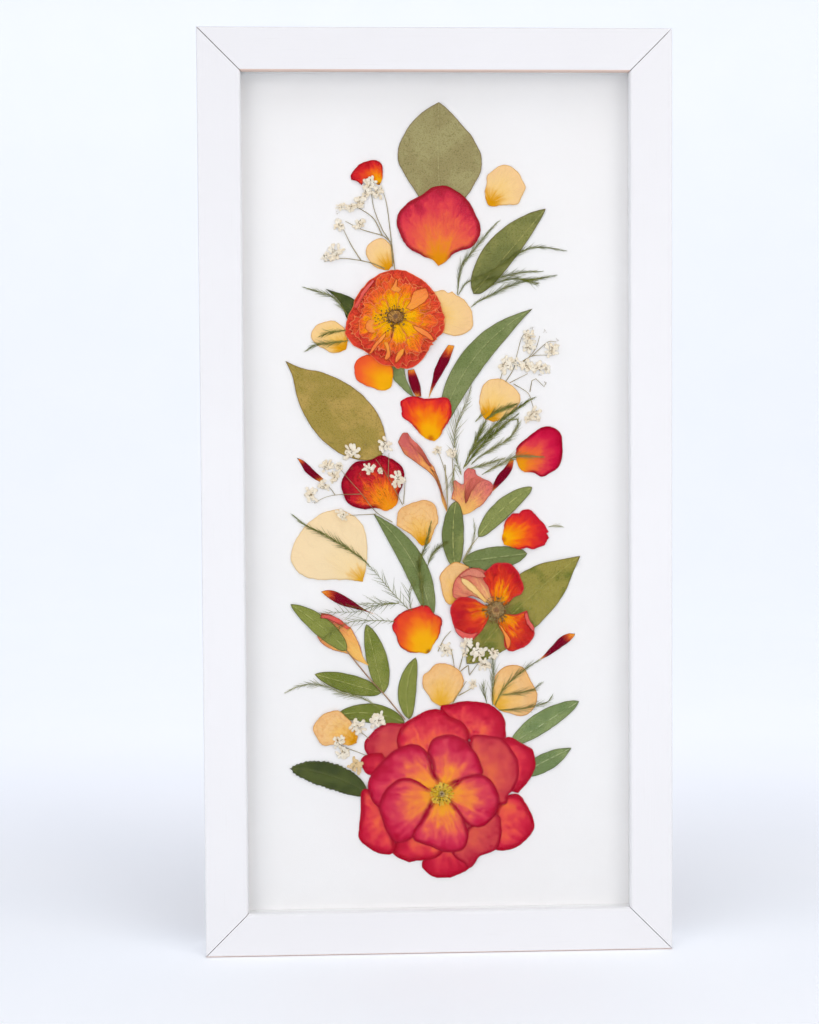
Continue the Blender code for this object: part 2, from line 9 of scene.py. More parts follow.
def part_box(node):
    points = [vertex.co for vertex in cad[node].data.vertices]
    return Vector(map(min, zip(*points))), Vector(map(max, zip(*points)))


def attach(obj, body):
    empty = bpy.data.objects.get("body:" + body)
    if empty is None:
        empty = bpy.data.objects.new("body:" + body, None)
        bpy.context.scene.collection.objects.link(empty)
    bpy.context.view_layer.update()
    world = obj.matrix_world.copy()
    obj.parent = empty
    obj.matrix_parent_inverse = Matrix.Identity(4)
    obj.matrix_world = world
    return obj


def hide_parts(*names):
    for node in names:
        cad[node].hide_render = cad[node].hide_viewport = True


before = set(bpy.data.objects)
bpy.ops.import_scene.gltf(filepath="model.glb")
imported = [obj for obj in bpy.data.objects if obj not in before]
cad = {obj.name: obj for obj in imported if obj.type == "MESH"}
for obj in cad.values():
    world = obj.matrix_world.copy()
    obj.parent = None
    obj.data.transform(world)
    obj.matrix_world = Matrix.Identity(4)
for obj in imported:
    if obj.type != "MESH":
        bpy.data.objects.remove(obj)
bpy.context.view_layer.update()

# ------------------------------------------------------------------ sizes
# Flowers are laid out in millimetres: x from the frame's middle, z up from its foot,
# and h, the height of a surface above the face of the mount board.
MM = 0.001
BODY = "root"
BOARD_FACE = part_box("mount_board")[0].y
GLASS_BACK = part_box("glazing_pane")[1].y
FRAME_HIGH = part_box("rail_right")[1]
FRAME_TOP = FRAME_HIGH.z
HALF_WIDTH = FRAME_HIGH.x
ROOM = (BOARD_FACE - GLASS_BACK) / MM     # the gap that the glass leaves for the flowers
FREE_HEIGHT = 0.5 * ROOM                  # below this the layers stack as they are
LAST_HEIGHT = ROOM - FREE_HEIGHT - 0.35   # above it the glass presses them together
SHEET = 0.24                              # thickness of a pressed petal or leaf
LIFT = 0.05                               # least air between two layers
SLOPE = 0.16                              # steepest fall of a sheet off the one beneath
DIAGONAL = 1.414                          # a cell's diagonal over its side
GOLDEN_TURN = 2.39996                     # angle between threads in the order they grow
QUARTER_TURN = 1.5708


def pressed_height(h):
    """Heights squeezed under the glass, never crossing each other."""
    over = np.maximum(h - FREE_HEIGHT, 0)
    return np.minimum(h, FREE_HEIGHT) + LAST_HEIGHT * (1 - np.exp(-over / LAST_HEIGHT))


def in_metres(x, z, h):
    """Points in the object's frame from board millimetres."""
    y = BOARD_FACE - (pressed_height(h) + LIFT) * MM
    return np.stack([x * MM, y, z * MM], -1)


# ------------------------------------------------------------------ node expressions
def arithmetic(operation):
    """Two methods for Socket that add one Math node: the socket on the left, and on the right."""

    def left(socket, other):
        return socket.math(operation, socket, other)

    def right(socket, other):
        return socket.math(operation, other, socket)

    return left, right


class Socket:
    """One output of a node. Arithmetic on it adds Math nodes to its tree."""

    def __init__(self, maker, socket):
        self.maker, self.socket = maker, socket

    def math(self, operation, *values):
        return self.maker.node("ShaderNodeMath", {"operation": operation}, dict(enumerate(values)))

    __add__, __radd__ = arithmetic("ADD")
    __sub__, __rsub__ = arithmetic("SUBTRACT")
    __mul__, __rmul__ = arithmetic("MULTIPLY")
    __truediv__, __rtruediv__ = arithmetic("DIVIDE")
    __mod__ = arithmetic("FLOORED_MODULO")[0]

    def __abs__(self):
        return self.math("ABSOLUTE", self)

    def least(self, other):
        return self.math("MINIMUM", self, other)

    def sine(self):
        return self.math("SINE", self)

    def step(self, low, high):
        """0 at low, 1 at high, smooth between; low may be the larger."""
        return self.maker.node(
            "ShaderNodeMapRange",
            {"interpolation_type": "SMOOTHSTEP"},
            {0: self, 1: low, 2: high},
        )


class Maker:
    """Adds nodes to one tree."""

    def __init__(self, tree):
        self.tree = tree

    def node(self, kind, settings=None, values=None, output=0):
        node = self.tree.nodes.new(kind)
        for key, setting in (settings or {}).items():
            if key == "stops":
                self.set_stops(node.color_ramp, setting)
            else:
                setattr(node, key, setting)
        for key, value in (values or {}).items():
            self.join(value, node.inputs[key])
        return Socket(self, node.outputs[output])

    def join(self, value, target):
        if isinstance(value, Socket):
            self.tree.links.new(value.socket, target)
        else:
            target.default_value = value

    @staticmethod
    def set_stops(ramp, stops):
        ramp.elements[0].position, ramp.elements[0].color = stops[0]
        ramp.elements[1].position, ramp.elements[1].color = stops[-1]
        for position, colour in stops[1:-1]:
            ramp.elements.new(position).color = colour

    def parts(self, vector):
        """The three numbers of a vector."""
        node = self.tree.nodes.new("ShaderNodeSeparateXYZ")
        self.tree.links.new(vector.socket, node.inputs[0])
        return [Socket(self, out) for out in node.outputs]

    def vector(self, x, y, z):
        return self.node("ShaderNodeCombineXYZ", None, {0: x, 1: y, 2: z})

    def noise(self, place, scale, detail=2.0, rough=0.5, distortion=0.0):
        """Smooth noise, about 0.5."""
        return self.node(
            "ShaderNodeTexNoise",
            None,
            {"Vector": place, "Scale": scale, "Detail": detail, "Roughness": rough,
                "Distortion": distortion},
        )


def paint(red, green, blue):
    """A linear colour from the 0 to 255 values of a colour chart."""
    parts = [value / 255 for value in (red, green, blue)]
    return (*[v / 12.92 if v <= 0.04045 else ((v + 0.055) / 1.055) ** 2.4 for v in parts], 1.0)


class Finish(Maker):
    """A material: a Principled shader fed by expressions. Constants are set on the shader itself."""

    made = {}

    def __init__(self, name, slot, constants=None):
        self.material = bpy.data.materials.new(name)
        self.material.use_nodes = True
        super().__init__(self.material.node_tree)
        self.tree.nodes.clear()
        self.slot = slot
        self.shader = self.tree.nodes.new("ShaderNodeBsdfPrincipled")
        self.output = self.tree.nodes.new("ShaderNodeOutputMaterial")
        self.tree.links.new(self.shader.outputs[0], self.output.inputs[0])
        for socket, value in (constants or {}).items():
            self.shader.inputs[socket].default_value = value
        Finish.made[name] = self

    def feed(self, socket, value):
        self.join(value, self.shader.inputs[socket])

    def bump(self, height, distance, strength=1.0):
        """Relief in metres along the normal."""
        self.feed("Normal", self.node("ShaderNodeBump", None,
            {"Strength": strength, "Distance": distance, "Height": height}))

    def mix(self, first, second, factor, blend="MIX"):
        return self.node("ShaderNodeMix", {"data_type": "RGBA", "blend_type": blend},
            {0: factor, 6: first, 7: second}, 2)

    def ramp(self, value, stops):
        return self.node("ShaderNodeValToRGB", {"stops": stops}, {0: value})

    def attribute(self, name):
        return self.node("ShaderNodeAttribute", {"attribute_name": name}, None, 2)

    def place(self, stretch=(1.0, 1.0, 1.0)):
        """Object coordinates in millimetres, stretched by a factor on each axis."""
        where = self.node("ShaderNodeTexCoord", None, None, 3)
        scale = tuple(factor / MM for factor in stretch)
        return self.node("ShaderNodeVectorMath", {"operation": "MULTIPLY"}, {0: where, 1: scale})


# ------------------------------------------------------------------ finishes of the frame
def lacquered_wood():
    """White lacquer on wood: a faint grain along each rail, rounded dust, hairline mitres, a painted
    highlight on faces turned sideways and painted shade on faces turned down.
    """
    finish = Finish("white_lacquered_wood", "white_lacquered_wood", {"Specular IOR Level": 0.45})
    where = finish.place()
    across, _, up = finish.parts(where)
    half, top = HALF_WIDTH / MM, FRAME_TOP / MM
    side_run = half - abs(across)
    end_run = (top - up).least(up)
    on_side = (end_run - side_run).step(-0.05, 0.05)
    along_side = finish.noise(finish.place((1.0, 1.0, 0.03)), 1.6, 3)
    along_end = finish.noise(finish.place((0.03, 1.0, 1.0)), 1.6, 3)
    grain = along_side * on_side + along_end * (1 - on_side)
    fine = finish.noise(where, 4.0, 2)
    mitre = abs(end_run - side_run).step(0.3, 0.08)
    top_left = (up - across).step(top + half - 45, top + half - 40)
    joint = mitre * (0.04 + top_left * 0.4)
    cloud = finish.noise(where, 0.02, 2)
    base = finish.mix(paint(225, 222, 222), paint(229, 226, 226), cloud)
    grain_wear_and_painted_light = finish.mix(base, paint(215, 212, 210), grain.step(0.62, 0.8) * 0.25)
    _, forward, upward = finish.parts(finish.node("ShaderNodeNewGeometry", None, None, 1))
    # painted highlight: faces that don't face forward, such as the inner lips, are made lighter
    grain_wear_and_painted_light = finish.mix(grain_wear_and_painted_light, paint(247, 246, 247), abs(forward).step(0.8, 0.3))
    # painted shade: faces that look down, such as the underside of the top lip, get a warm darker tone
    grain_wear_and_painted_light = finish.mix(grain_wear_and_painted_light, paint(216, 188, 174), upward.step(-0.3, -0.7))
    finish.feed("Base Color", finish.mix(grain_wear_and_painted_light, paint(118, 112, 108), joint))
    finish.feed("Roughness", 0.34 + grain * 0.12)
    finish.bump(grain * 0.6 + fine * 0.4 - mitre * 0.3, 0.05 * MM)
    return finish


def mount_card():
    """Warm white artist's board with a fine laid tooth."""
    finish = Finish("white_mount_board", "white_mount_board", {"Specular IOR Level": 0.2})
    where = finish.place()
    tooth = finish.noise(where, 5.0, 3)
    cloud = finish.noise(where, 0.03, 2)
    base = finish.mix(paint(248, 245, 243), paint(251, 249, 248), cloud)
    finish.feed("Base Color", finish.mix(base, paint(236, 232, 228), tooth.step(0.6, 0.8) * 0.3))
    finish.feed("Roughness", 0.8 + tooth * 0.15)
    finish.bump(tooth, 0.03 * MM)
    return finish


def foam_spacer():
    finish = Finish("white_spacer", "white_spacer", {"Specular IOR Level": 0.3})
    cells = finish.noise(finish.place(), 6.0, 3)
    finish.feed("Base Color", finish.mix(paint(240, 240, 240), paint(250, 250, 250), cells))
    finish.feed("Roughness", 0.6 + cells * 0.2)
    finish.bump(cells, 0.05 * MM)
    return finish


def hardboard():
    """Brown pressed-fibre board: long and short fibres, darker flecks."""
    finish = Finish("brown_hardboard", "brown_hardboard", {"Specular IOR Level": 0.25})
    where = finish.place()
    fibre = finish.noise(finish.place((1.0, 1.0, 0.25)), 0.9, 5, 0.65, 0.8)
    fleck = finish.noise(finish.place((0.4, 1.0, 1.0)), 2.4, 4, 0.6, 1.2)
    cloud = finish.noise(where, 0.03, 3)
    tone = finish.ramp(
        fibre * 0.7 + cloud * 0.3,
        [(0.3, paint(92, 60, 36)), (0.5, paint(132, 92, 58)), (0.7, paint(164, 122, 82))],
    )
    finish.feed("Base Color", finish.mix(tone, paint(70, 44, 26), fleck.step(0.6, 0.72) * 0.6))
    finish.feed("Roughness", 0.62 + fleck * 0.25)
    finish.bump(fibre + fleck * 0.6, 0.12 * MM)
    return finish


def plated(name, slot, light, dark, roughness):
    """Thin plated sheet or wire: brushed, with dull patches."""
    finish = Finish(name, slot, {"Metallic": 1.0})
    brushed = finish.noise(finish.place((0.15, 1.0, 1.0)), 9.0, 3)
    patch = finish.noise(finish.place(), 0.5, 3)
    finish.feed("Base Color", finish.mix(light, dark, brushed * 0.5 + patch.step(0.45, 0.7) * 0.5))
    finish.feed("Roughness", roughness + patch * 0.25)
    finish.bump(brushed, 0.03 * MM)
    return finish


def window_glass():
    """Clear low-glare glazing."""
    return Finish(
        "clear_glass",
        "clear_glass",
        {
            "Base Color": (1.0, 1.0, 1.0, 1.0),
            "Roughness": 0.0,
            "IOR": 1.5,
            "Transmission Weight": 1.0,
            "Specular Tint": (0.1, 0.1, 0.1, 1.0),
        },
    )


# ------------------------------------------------------------------ finishes of leaves and petals
def petal_finish(
    name, slot, stops, rim=None, rim_width=0.8, streak=0.16, mottle=0.12, veins=0.12, speckle=0.15,
    root=None,
    root_size=6.0, crack_and_crease_shade=0.0, wrinkle_shade=0.0,
):
    """A petal coloured from its base point to its rim, streaked along its fan of veins.

    reach runs 0 at the base to 1 at the rim, fan is the angle at the base, far the distance from
    it, edge the distance in from the rim, and tone a small shift that differs from petal to petal.
    """
    finish = Finish(name, slot, {"Specular IOR Level": 0.02})
    reach, fan, far = finish.attribute("reach"), finish.attribute("fan"), finish.attribute("far")
    edge, tone = finish.attribute("edge"), finish.attribute("tone")
    where = finish.place()
    cloud = finish.noise(where, 0.22, 3)
    cells = finish.noise(where, 1.0, 4, 0.65)
    dots = finish.noise(where, 2.4, 2, 0.6)
    drift = fan + (cloud - 0.5) * 0.3
    wide = finish.noise(finish.vector(drift * 6.0, reach * 1.8, tone * 9.0), 1.0, 3)
    fine = finish.noise(finish.vector(drift * 24.0, reach * 6.0, tone * 9.0), 1.0, 2)
    shifted = reach + tone * 0.12 + (wide - 0.5) * (2.4 * streak) + (fine - 0.5) * (1.7 * streak)
    shifted = shifted + (cloud - 0.5) * (2 * mottle) + (cells - 0.5) * (1.1 * mottle)
    colour = finish.ramp(shifted, [(at, paint(*rgb)) for at, rgb in stops])
    line = finish.noise(finish.vector(drift * 34.0, reach * 3.0, tone * 5.0), 1.0, 1).step(0.5, 0.72)
    shade = finish.mix(colour, (0.5, 0.32, 0.26, 1.0), 1.0, "MULTIPLY")
    colour = finish.mix(colour, shade, line * reach.step(0.06, 0.3) * veins)
    shade = finish.mix(colour, (0.62, 0.5, 0.5, 1.0), 1.0, "MULTIPLY")
    colour = finish.mix(colour, shade, dots.step(0.56, 0.72) * (speckle * 2))
    if root:
        spread = far + (wide - 0.5) * (root_size * 1.1) + (cloud - 0.5) * (root_size * 0.6)
        colour = finish.mix(colour, paint(*root), spread.step(root_size, root_size * 0.15))
    # dark crack lines: partly dark veins, partly painted shade in the creases of a crumpled petal
    if crack_and_crease_shade:
        ridge = abs(finish.noise(finish.vector(drift * 7.0, reach * 3.5, tone * 3.0), 1.0, 3, 0.6) - 0.5)
        shade = finish.mix(colour, (0.3, 0.14, 0.12, 1.0), 1.0, "MULTIPLY")
        colour = finish.mix(colour, shade, ridge.step(0.024, 0.0) * reach.step(0.1, 0.3) * crack_and_crease_shade)
    # painted shade: darker rings in from the rim stand for the shade in wrinkle folds
    if wrinkle_shade:
        fold = abs((edge * 0.34 + (cloud - 0.5) * 3.0 + (cells - 0.5) * 0.5) % 1.0 - 0.5).step(0.16, 0.0)
        shade = finish.mix(colour, (0.86, 0.64, 0.4, 1.0), 1.0, "MULTIPLY")
        colour = finish.mix(colour, shade, fold * edge.step(0.3, 1.6) * wrinkle_shade)
    if rim:
        uneven = edge + (cloud - 0.5) * (rim_width * 0.9) + (cells - 0.5) * (rim_width * 0.7)
        band = uneven.step(rim_width, rim_width * 0.22) * far.step(3.0, 9.0)
        colour = finish.mix(colour, paint(*rim), band)
    finish.feed("Base Color", colour)
    finish.feed("Roughness", 0.5 + dots * 0.25)
    finish.bump(cells * 0.7 + fine * 0.25 + dots * 0.25 - line * 0.25, 0.16 * MM)
    return finish


def leaf_finish(name, slot, dull, fresh, vein, edge_colour, spot, vein_pitch=3.2, vein_strength=0.35,
    spots=0.5):
    """A dried leaf: pale midrib, side veins that sweep towards the tip, blotches, dry edge."""
    finish = Finish(name, slot, {"Specular IOR Level": 0.1})
    along, offset = finish.attribute("along"), finish.attribute("offset")
    edge, tone = finish.attribute("edge"), finish.attribute("tone")
    where = finish.place()
    blotch = finish.noise(where, 0.09, 3, 0.55)
    grain = finish.noise(where, 1.4, 3, 0.6)
    pores = finish.noise(where, 3.2, 2, 0.6)
    wobble = finish.noise(where, 0.25, 2)
    colour = finish.mix(paint(*dull), paint(*fresh), (blotch + tone * 0.35).step(0.38, 0.62))
    side = abs(offset)
    run = (along - side * 0.95 + (wobble - 0.5) * 2.5) / vein_pitch
    tooth = abs(run % 1.0 - 0.5)
    side_vein = tooth.step(0.09, 0.0) * side.step(0.2, 1.0)
    net = abs((along + side * 1.2 + (wobble - 0.5) * 3.0) / (vein_pitch * 0.42) % 1.0 - 0.5).step(0.14, 0.0)
    colour = finish.mix(colour, paint(*vein), side_vein * (vein_strength * 0.28))
    colour = finish.mix(colour, paint(*vein), net * (vein_strength * 0.05))
    shade = finish.mix(colour, (0.5, 0.52, 0.4, 1.0), 1.0, "MULTIPLY")
    colour = finish.mix(colour, shade, grain.step(0.48, 0.7) * 0.7)
    colour = finish.mix(colour, paint(*spot), (pores + blotch * 0.3).step(0.74, 0.86) * spots)
    broken = finish.noise(finish.vector(along * 0.5, 0.0, tone), 1.0, 2).step(0.38, 0.6)
    colour = finish.mix(colour, paint(*vein), side.step(0.34, 0.08) * broken * (vein_strength * 1.7))
    colour = finish.mix(colour, paint(*edge_colour), (edge + (grain - 0.5) * 0.5).step(0.55, 0.05) * 0.75)
    finish.feed("Base Color", colour)
    finish.feed("Roughness", 0.42 + grain * 0.3)
    midrib = side.step(0.7, 0.1)
    finish.bump(midrib * 1.0 + side_vein * 0.3 + grain * 0.8 + blotch * 0.4, 0.2 * MM)
    return finish


def strand_finish(name, slot, first, second, roughness=0.6):
    """Stems, needles and threads: two tones that drift along the sprays."""
    finish = Finish(name, slot, {"Specular IOR Level": 0.1})
    drift = finish.noise(finish.place(), 0.35, 3)
    fine = finish.noise(finish.place(), 3.0, 2)
    finish.feed("Base Color", finish.mix(paint(*first), paint(*second),
        (drift * 0.7 + fine * 0.3).step(0.35, 0.65)))
    finish.feed("Roughness", roughness + fine * 0.2)
    finish.bump(fine, 0.04 * MM)
    return finish


def heart_finish(name, slot, middle, light, dark, rim, middle_size):
    """The fibrous mound at a flower's heart: a dull middle, pale and dark fibres, a dark rim."""
    finish = Finish(name, slot, {"Specular IOR Level": 0.1})
    far, edge = finish.attribute("far"), finish.attribute("edge")
    where = finish.place()
    fibres = finish.noise(where, 1.6, 3, 0.65, 0.6)
    pits = finish.noise(where, 3.4, 2, 0.6)
    colour = finish.mix(paint(*dark), paint(*light), fibres.step(0.4, 0.6))
    inner = (far + (fibres - 0.5) * 1.6).step(middle_size, middle_size * 0.4)
    colour = finish.mix(colour, paint(*middle), inner)
    colour = finish.mix(colour, paint(*rim), (edge + (fibres - 0.5) * 1.2).step(1.0, 0.1))
    finish.feed("Base Color", finish.mix(colour, paint(*rim), pits.step(0.55, 0.75) * 0.4))
    finish.feed("Roughness", 0.65 + pits * 0.25)
    finish.bump(fibres + pits * 0.6, 0.2 * MM)
    return finish


lacquered_wood()
mount_card()
foam_spacer()
hardboard()
plated("zinc_plated_steel", "zinc_plated_steel", paint(196, 198, 202), paint(150, 152, 156), 0.28)
plated("brass_plated_steel", "brass_plated_steel", paint(214, 184, 118), paint(168, 138, 78), 0.26)
window_glass()

CREAM, ORANGE, CRIMSON = "dried_cream_petal", "dried_orange_petal", "dried_crimson_petal"
OLIVE, DARK, OCHRE = "dried_olive_leaf", "dried_dark_leaf", "dried_ochre_leaf"

petal_finish(
    "rose_petal", CRIMSON,
    [(0.0, (244, 170, 20)), (0.16, (252, 174, 34)), (0.36, (253, 160, 52)), (0.5, (248, 128, 68)),
     (0.63, (236, 92, 82)), (0.76, (221, 58, 84)), (0.88, (206, 26, 70)), (1.0, (186, 2, 46))],
    rim=(172, 8, 44), rim_width=2.4, streak=0.18, mottle=0.2, speckle=0.26,
)
petal_finish(
    "rose_outer_petal", CRIMSON,
    [(0.0, (252, 150, 50)), (0.5, (250, 132, 58)), (0.68, (244, 100, 68)), (0.81, (232, 66, 72)),
        (0.92, (214, 32, 64)),
     (1.0, (196, 12, 50))],
    rim=(176, 4, 36), rim_width=3.0, streak=0.16, mottle=0.24, speckle=0.26,
)
petal_finish(
    "rose_dusky_petal", CRIMSON,
    [(0.0, (244, 130, 66)), (0.5, (236, 108, 70)), (0.75, (220, 78, 74)), (0.9, (206, 58, 70)),
        (1.0, (188, 28, 54))],
    rim=(172, 8, 42), rim_width=2.0, streak=0.12, mottle=0.26, speckle=0.36,
)
petal_finish(
    "top_petal", CRIMSON,
    [(0.0, (236, 148, 20)), (0.2, (246, 150, 36)), (0.38, (244, 126, 60)), (0.56, (240, 98, 72)),
     (0.74, (228, 66, 76)), (0.88, (206, 44, 70)), (1.0, (180, 34, 56))],
    rim=(160, 26, 40), rim_width=2.4, streak=0.17, mottle=0.18, speckle=0.24, root=(232, 146, 4),
    root_size=15.0,
)
petal_finish(
    "magenta_petal", CRIMSON,
    [(0.0, (240, 150, 20)), (0.22, (246, 138, 30)), (0.44, (244, 112, 54)), (0.6, (228, 62, 72)),
     (0.8, (212, 20, 66)), (1.0, (184, 0, 48))],
    rim=(160, 0, 36), rim_width=1.8, streak=0.13, mottle=0.14, root=(244, 158, 10), root_size=6.0,
)
petal_finish(
    "flame_petal", ORANGE,
    [(0.0, (252, 178, 2)), (0.3, (254, 178, 2)), (0.5, (252, 142, 4)), (0.66, (246, 98, 22)),
     (0.8, (236, 58, 38)), (1.0, (210, 28, 44))],
    rim=(196, 22, 40), rim_width=1.3, streak=0.18, mottle=0.16, root=(214, 110, 10), root_size=2.4,
)
petal_finish(
    "scarlet_petal", ORANGE,
    [(0.0, (252, 184, 6)), (0.32, (254, 180, 4)), (0.5, (250, 132, 18)), (0.68, (240, 84, 32)),
     (0.88, (222, 40, 42)), (1.0, (190, 20, 34))],
    rim=(172, 14, 28), rim_width=0.8, streak=0.16, mottle=0.14, root=(160, 84, 16), root_size=2.0,
)
petal_finish(
    "veined_petal", CRIMSON,
    [(0.0, (248, 156, 20)), (0.34, (250, 142, 24)), (0.52, (238, 96, 36)), (0.68, (208, 38, 46)),
        (1.0, (170, 4, 40))],
    rim=(140, 0, 30), rim_width=2.2, streak=0.26, mottle=0.22, veins=0.3, crack_and_crease_shade=0.75,
)
petal_finish(
    "cream_petal", CREAM,
    [(0.0, (240, 176, 40)), (0.14, (247, 194, 82)), (0.4, (251, 206, 122)), (0.7, (252, 211, 144)),
        (1.0, (250, 206, 148))],
    rim=(238, 186, 116), rim_width=0.6, streak=0.14, mottle=0.12, veins=0.08, speckle=0.08,
    root=(232, 158, 8), root_size=9.0,
)
petal_finish(
    "crumpled_cream_petal", CREAM,
    [(0.0, (240, 174, 34)), (0.2, (246, 190, 74)), (0.45, (248, 196, 108)), (0.75, (248, 200, 136)),
        (1.0, (242, 188, 124))],
    rim=(224, 160, 84), rim_width=0.6, streak=0.16, mottle=0.2, veins=0.1, speckle=0.1, wrinkle_shade=0.5,
    root=(228, 156, 6), root_size=9.0,
)
petal_finish(
    "scalloped_petal", CREAM,
    [(0.0, (240, 174, 34)), (0.2, (246, 190, 74)), (0.45, (248, 196, 108)), (0.75, (248, 200, 136)),
        (1.0, (244, 190, 124))],
    rim=(226, 160, 84), rim_width=0.6, streak=0.14, mottle=0.16, veins=0.1, speckle=0.1, wrinkle_shade=0.22,
    root=(240, 180, 50), root_size=8.0,
)
petal_finish(
    "pale_petal", CREAM,
    [(0.0, (242, 190, 90)), (0.1, (248, 208, 130)), (0.3, (250, 220, 164)), (0.6, (251, 224, 178)),
        (1.0, (251, 222, 176))],
    rim=(246, 212, 156), rim_width=0.6, streak=0.12, mottle=0.1, veins=0.06, speckle=0.06,
    root=(236, 172, 44), root_size=10.0,
)
petal_finish(
    "amber_petal", ORANGE,
    [(0.0, (252, 182, 10)), (0.4, (254, 176, 8)), (0.62, (252, 138, 26)), (0.82, (248, 100, 44)),
        (1.0, (240, 84, 46))],
    rim=(220, 84, 40), rim_width=0.4, streak=0.1, mottle=0.1,
)
petal_finish(
    "rolled_petal", ORANGE,
    [(0.0, (250, 196, 104)), (0.34, (250, 184, 98)), (0.58, (242, 160, 92)), (0.74, (226, 126, 94)),
     (0.86, (210, 104, 98)), (1.0, (206, 98, 92))],
    rim=(182, 92, 60), rim_width=0.5, streak=0.34, mottle=0.16, veins=0.3,
)
petal_finish(
    "dusky_pink_petal", ORANGE,
    [(0.0, (252, 200, 104)), (0.3, (250, 184, 108)), (0.5, (240, 156, 108)), (0.7, (230, 128, 112)),
        (1.0, (226, 116, 110))],
    rim=(190, 86, 74), rim_width=0.5, streak=0.24, mottle=0.24, veins=0.35, crack_and_crease_shade=0.35,
)
petal_finish(
    "shadowed_fold", ORANGE,
    [(0.0, (172, 82, 64)), (0.35, (178, 84, 66)), (0.7, (196, 96, 80)), (1.0, (224, 118, 104))],
    streak=0.3, mottle=0.25, veins=0.35,
)
petal_finish(
    "dart_petal", CRIMSON,
    [(0.0, (240, 200, 130)), (0.12, (226, 150, 66)), (0.2, (160, 44, 30)), (0.3, (122, 0, 30)),
     (0.74, (124, 2, 32)), (0.84, (190, 62, 34)), (0.92, (234, 130, 44)), (1.0, (246, 170, 60))],
    rim=(96, 0, 18), rim_width=0.15, streak=0.08, mottle=0.05, veins=0.2,
)
petal_finish(
    "dried_head_petal", ORANGE,
    [(0.0, (252, 188, 0)), (0.42, (254, 184, 6)), (0.54, (252, 154, 16)), (0.66, (248, 122, 34)),
     (0.82, (240, 92, 50)), (1.0, (226, 68, 48))],
    rim=(246, 136, 84), rim_width=0.4, streak=0.22, mottle=0.16, veins=0.6, crack_and_crease_shade=0.45,
)
petal_finish(
    "peach_fold", ORANGE,
    [(0.0, (252, 190, 50)), (0.5, (252, 166, 62)), (0.85, (250, 148, 72)), (1.0, (244, 124, 62))],
    rim=(176, 60, 20), rim_width=0.4, streak=0.25, mottle=0.2, veins=0.3,
)
petal_finish(
    "brown_fold", ORANGE,
    [(0.0, (214, 150, 80)), (0.6, (220, 146, 80)), (1.0, (196, 122, 70))],
    rim=(150, 90, 52), rim_width=0.4, streak=0.25, mottle=0.25, veins=0.3,
)
petal_finish(
    "cream_fold", ORANGE,
    [(0.0, (252, 180, 20)), (0.35, (252, 204, 110)), (1.0, (252, 214, 146))],
    rim=(206, 128, 66), rim_width=0.3, streak=0.25, mottle=0.2, veins=0.25,
)
petal_finish(
    "pink_fold", ORANGE,
    [(0.0, (238, 160, 120)), (0.6, (230, 148, 120)), (1.0, (218, 128, 108))],
    rim=(186, 84, 70), rim_width=0.3, streak=0.25, mottle=0.25, veins=0.35,
)
petal_finish(
    "coral_fold", ORANGE,
    [(0.0, (244, 120, 84)), (0.5, (236, 92, 78)), (1.0, (228, 104, 98))],
    rim=(170, 30, 34), rim_width=0.4, streak=0.25, mottle=0.25, veins=0.25,
)
petal_finish(
    "open_rose_petal", ORANGE,
    [(0.0, (252, 186, 10)), (0.36, (252, 164, 6)), (0.52, (246, 118, 16)), (0.66, (230, 64, 32)),
        (1.0, (200, 26, 38))],
    rim=(206, 52, 56), rim_width=0.9, streak=0.34, mottle=0.22, veins=0.55, speckle=0.2, crack_and_crease_shade=0.4,
)
petal_finish(
    "folded_peach_petal", ORANGE,
    [(0.0, (252, 176, 14)), (0.26, (252, 186, 84)), (0.5, (250, 196, 132)), (0.68, (236, 152, 112)),
        (1.0, (226, 124, 104))],
    rim=(190, 86, 72), rim_width=0.7, streak=0.34, mottle=0.25, veins=0.45,
)

# name, slot, dull, fresh, vein, dry edge, spot, vein pitch, vein strength, spots
for row in [
    ("eucalyptus_leaf", OLIVE, (158, 146, 98), (172, 162, 112), (190, 180, 130), (120, 92, 60),
        (128, 110, 66), 5.0, 0.4, 0.5),
    ("olive_leaf", OLIVE, (112, 124, 68), (142, 150, 84), (186, 184, 112), (96, 92, 50), (90, 96, 44),
        3.4, 0.5, 0.4),
    ("grey_green_leaf", OLIVE, (118, 132, 76), (136, 146, 92), (176, 182, 122), (104, 106, 60),
        (100, 110, 60), 2.6, 0.4, 0.3),
    ("ochre_leaf", OCHRE, (166, 144, 68), (188, 158, 84), (190, 168, 96), (124, 94, 44), (142, 110, 52),
        7.5, 0.22, 0.3),
    ("broad_leaf", OLIVE, (114, 120, 46), (162, 150, 72), (178, 170, 92), (112, 100, 46), (88, 92, 34),
        6.0, 0.45, 0.4),
    ("sage_leaf", OLIVE, (118, 138, 84), (140, 156, 98), (182, 190, 140), (100, 108, 62), (98, 112, 62),
        2.8, 0.5, 0.3),
    ("dark_serrated_leaf", DARK, (58, 68, 28), (84, 94, 42), (120, 122, 70), (60, 60, 26), (54, 58, 22),
        3.0, 0.3, 0.5),
    ("sprig_leaf", OLIVE, (118, 128, 50), (140, 146, 68), (176, 176, 104), (92, 94, 42), (86, 92, 36),
        2.4, 0.45, 0.3),
    ("ochre_top_leaf", OLIVE, (118, 122, 66), (140, 140, 78), (180, 174, 104), (104, 92, 50),
        (96, 98, 48), 4.2, 0.45, 0.5),
]:
    leaf_finish(*row)

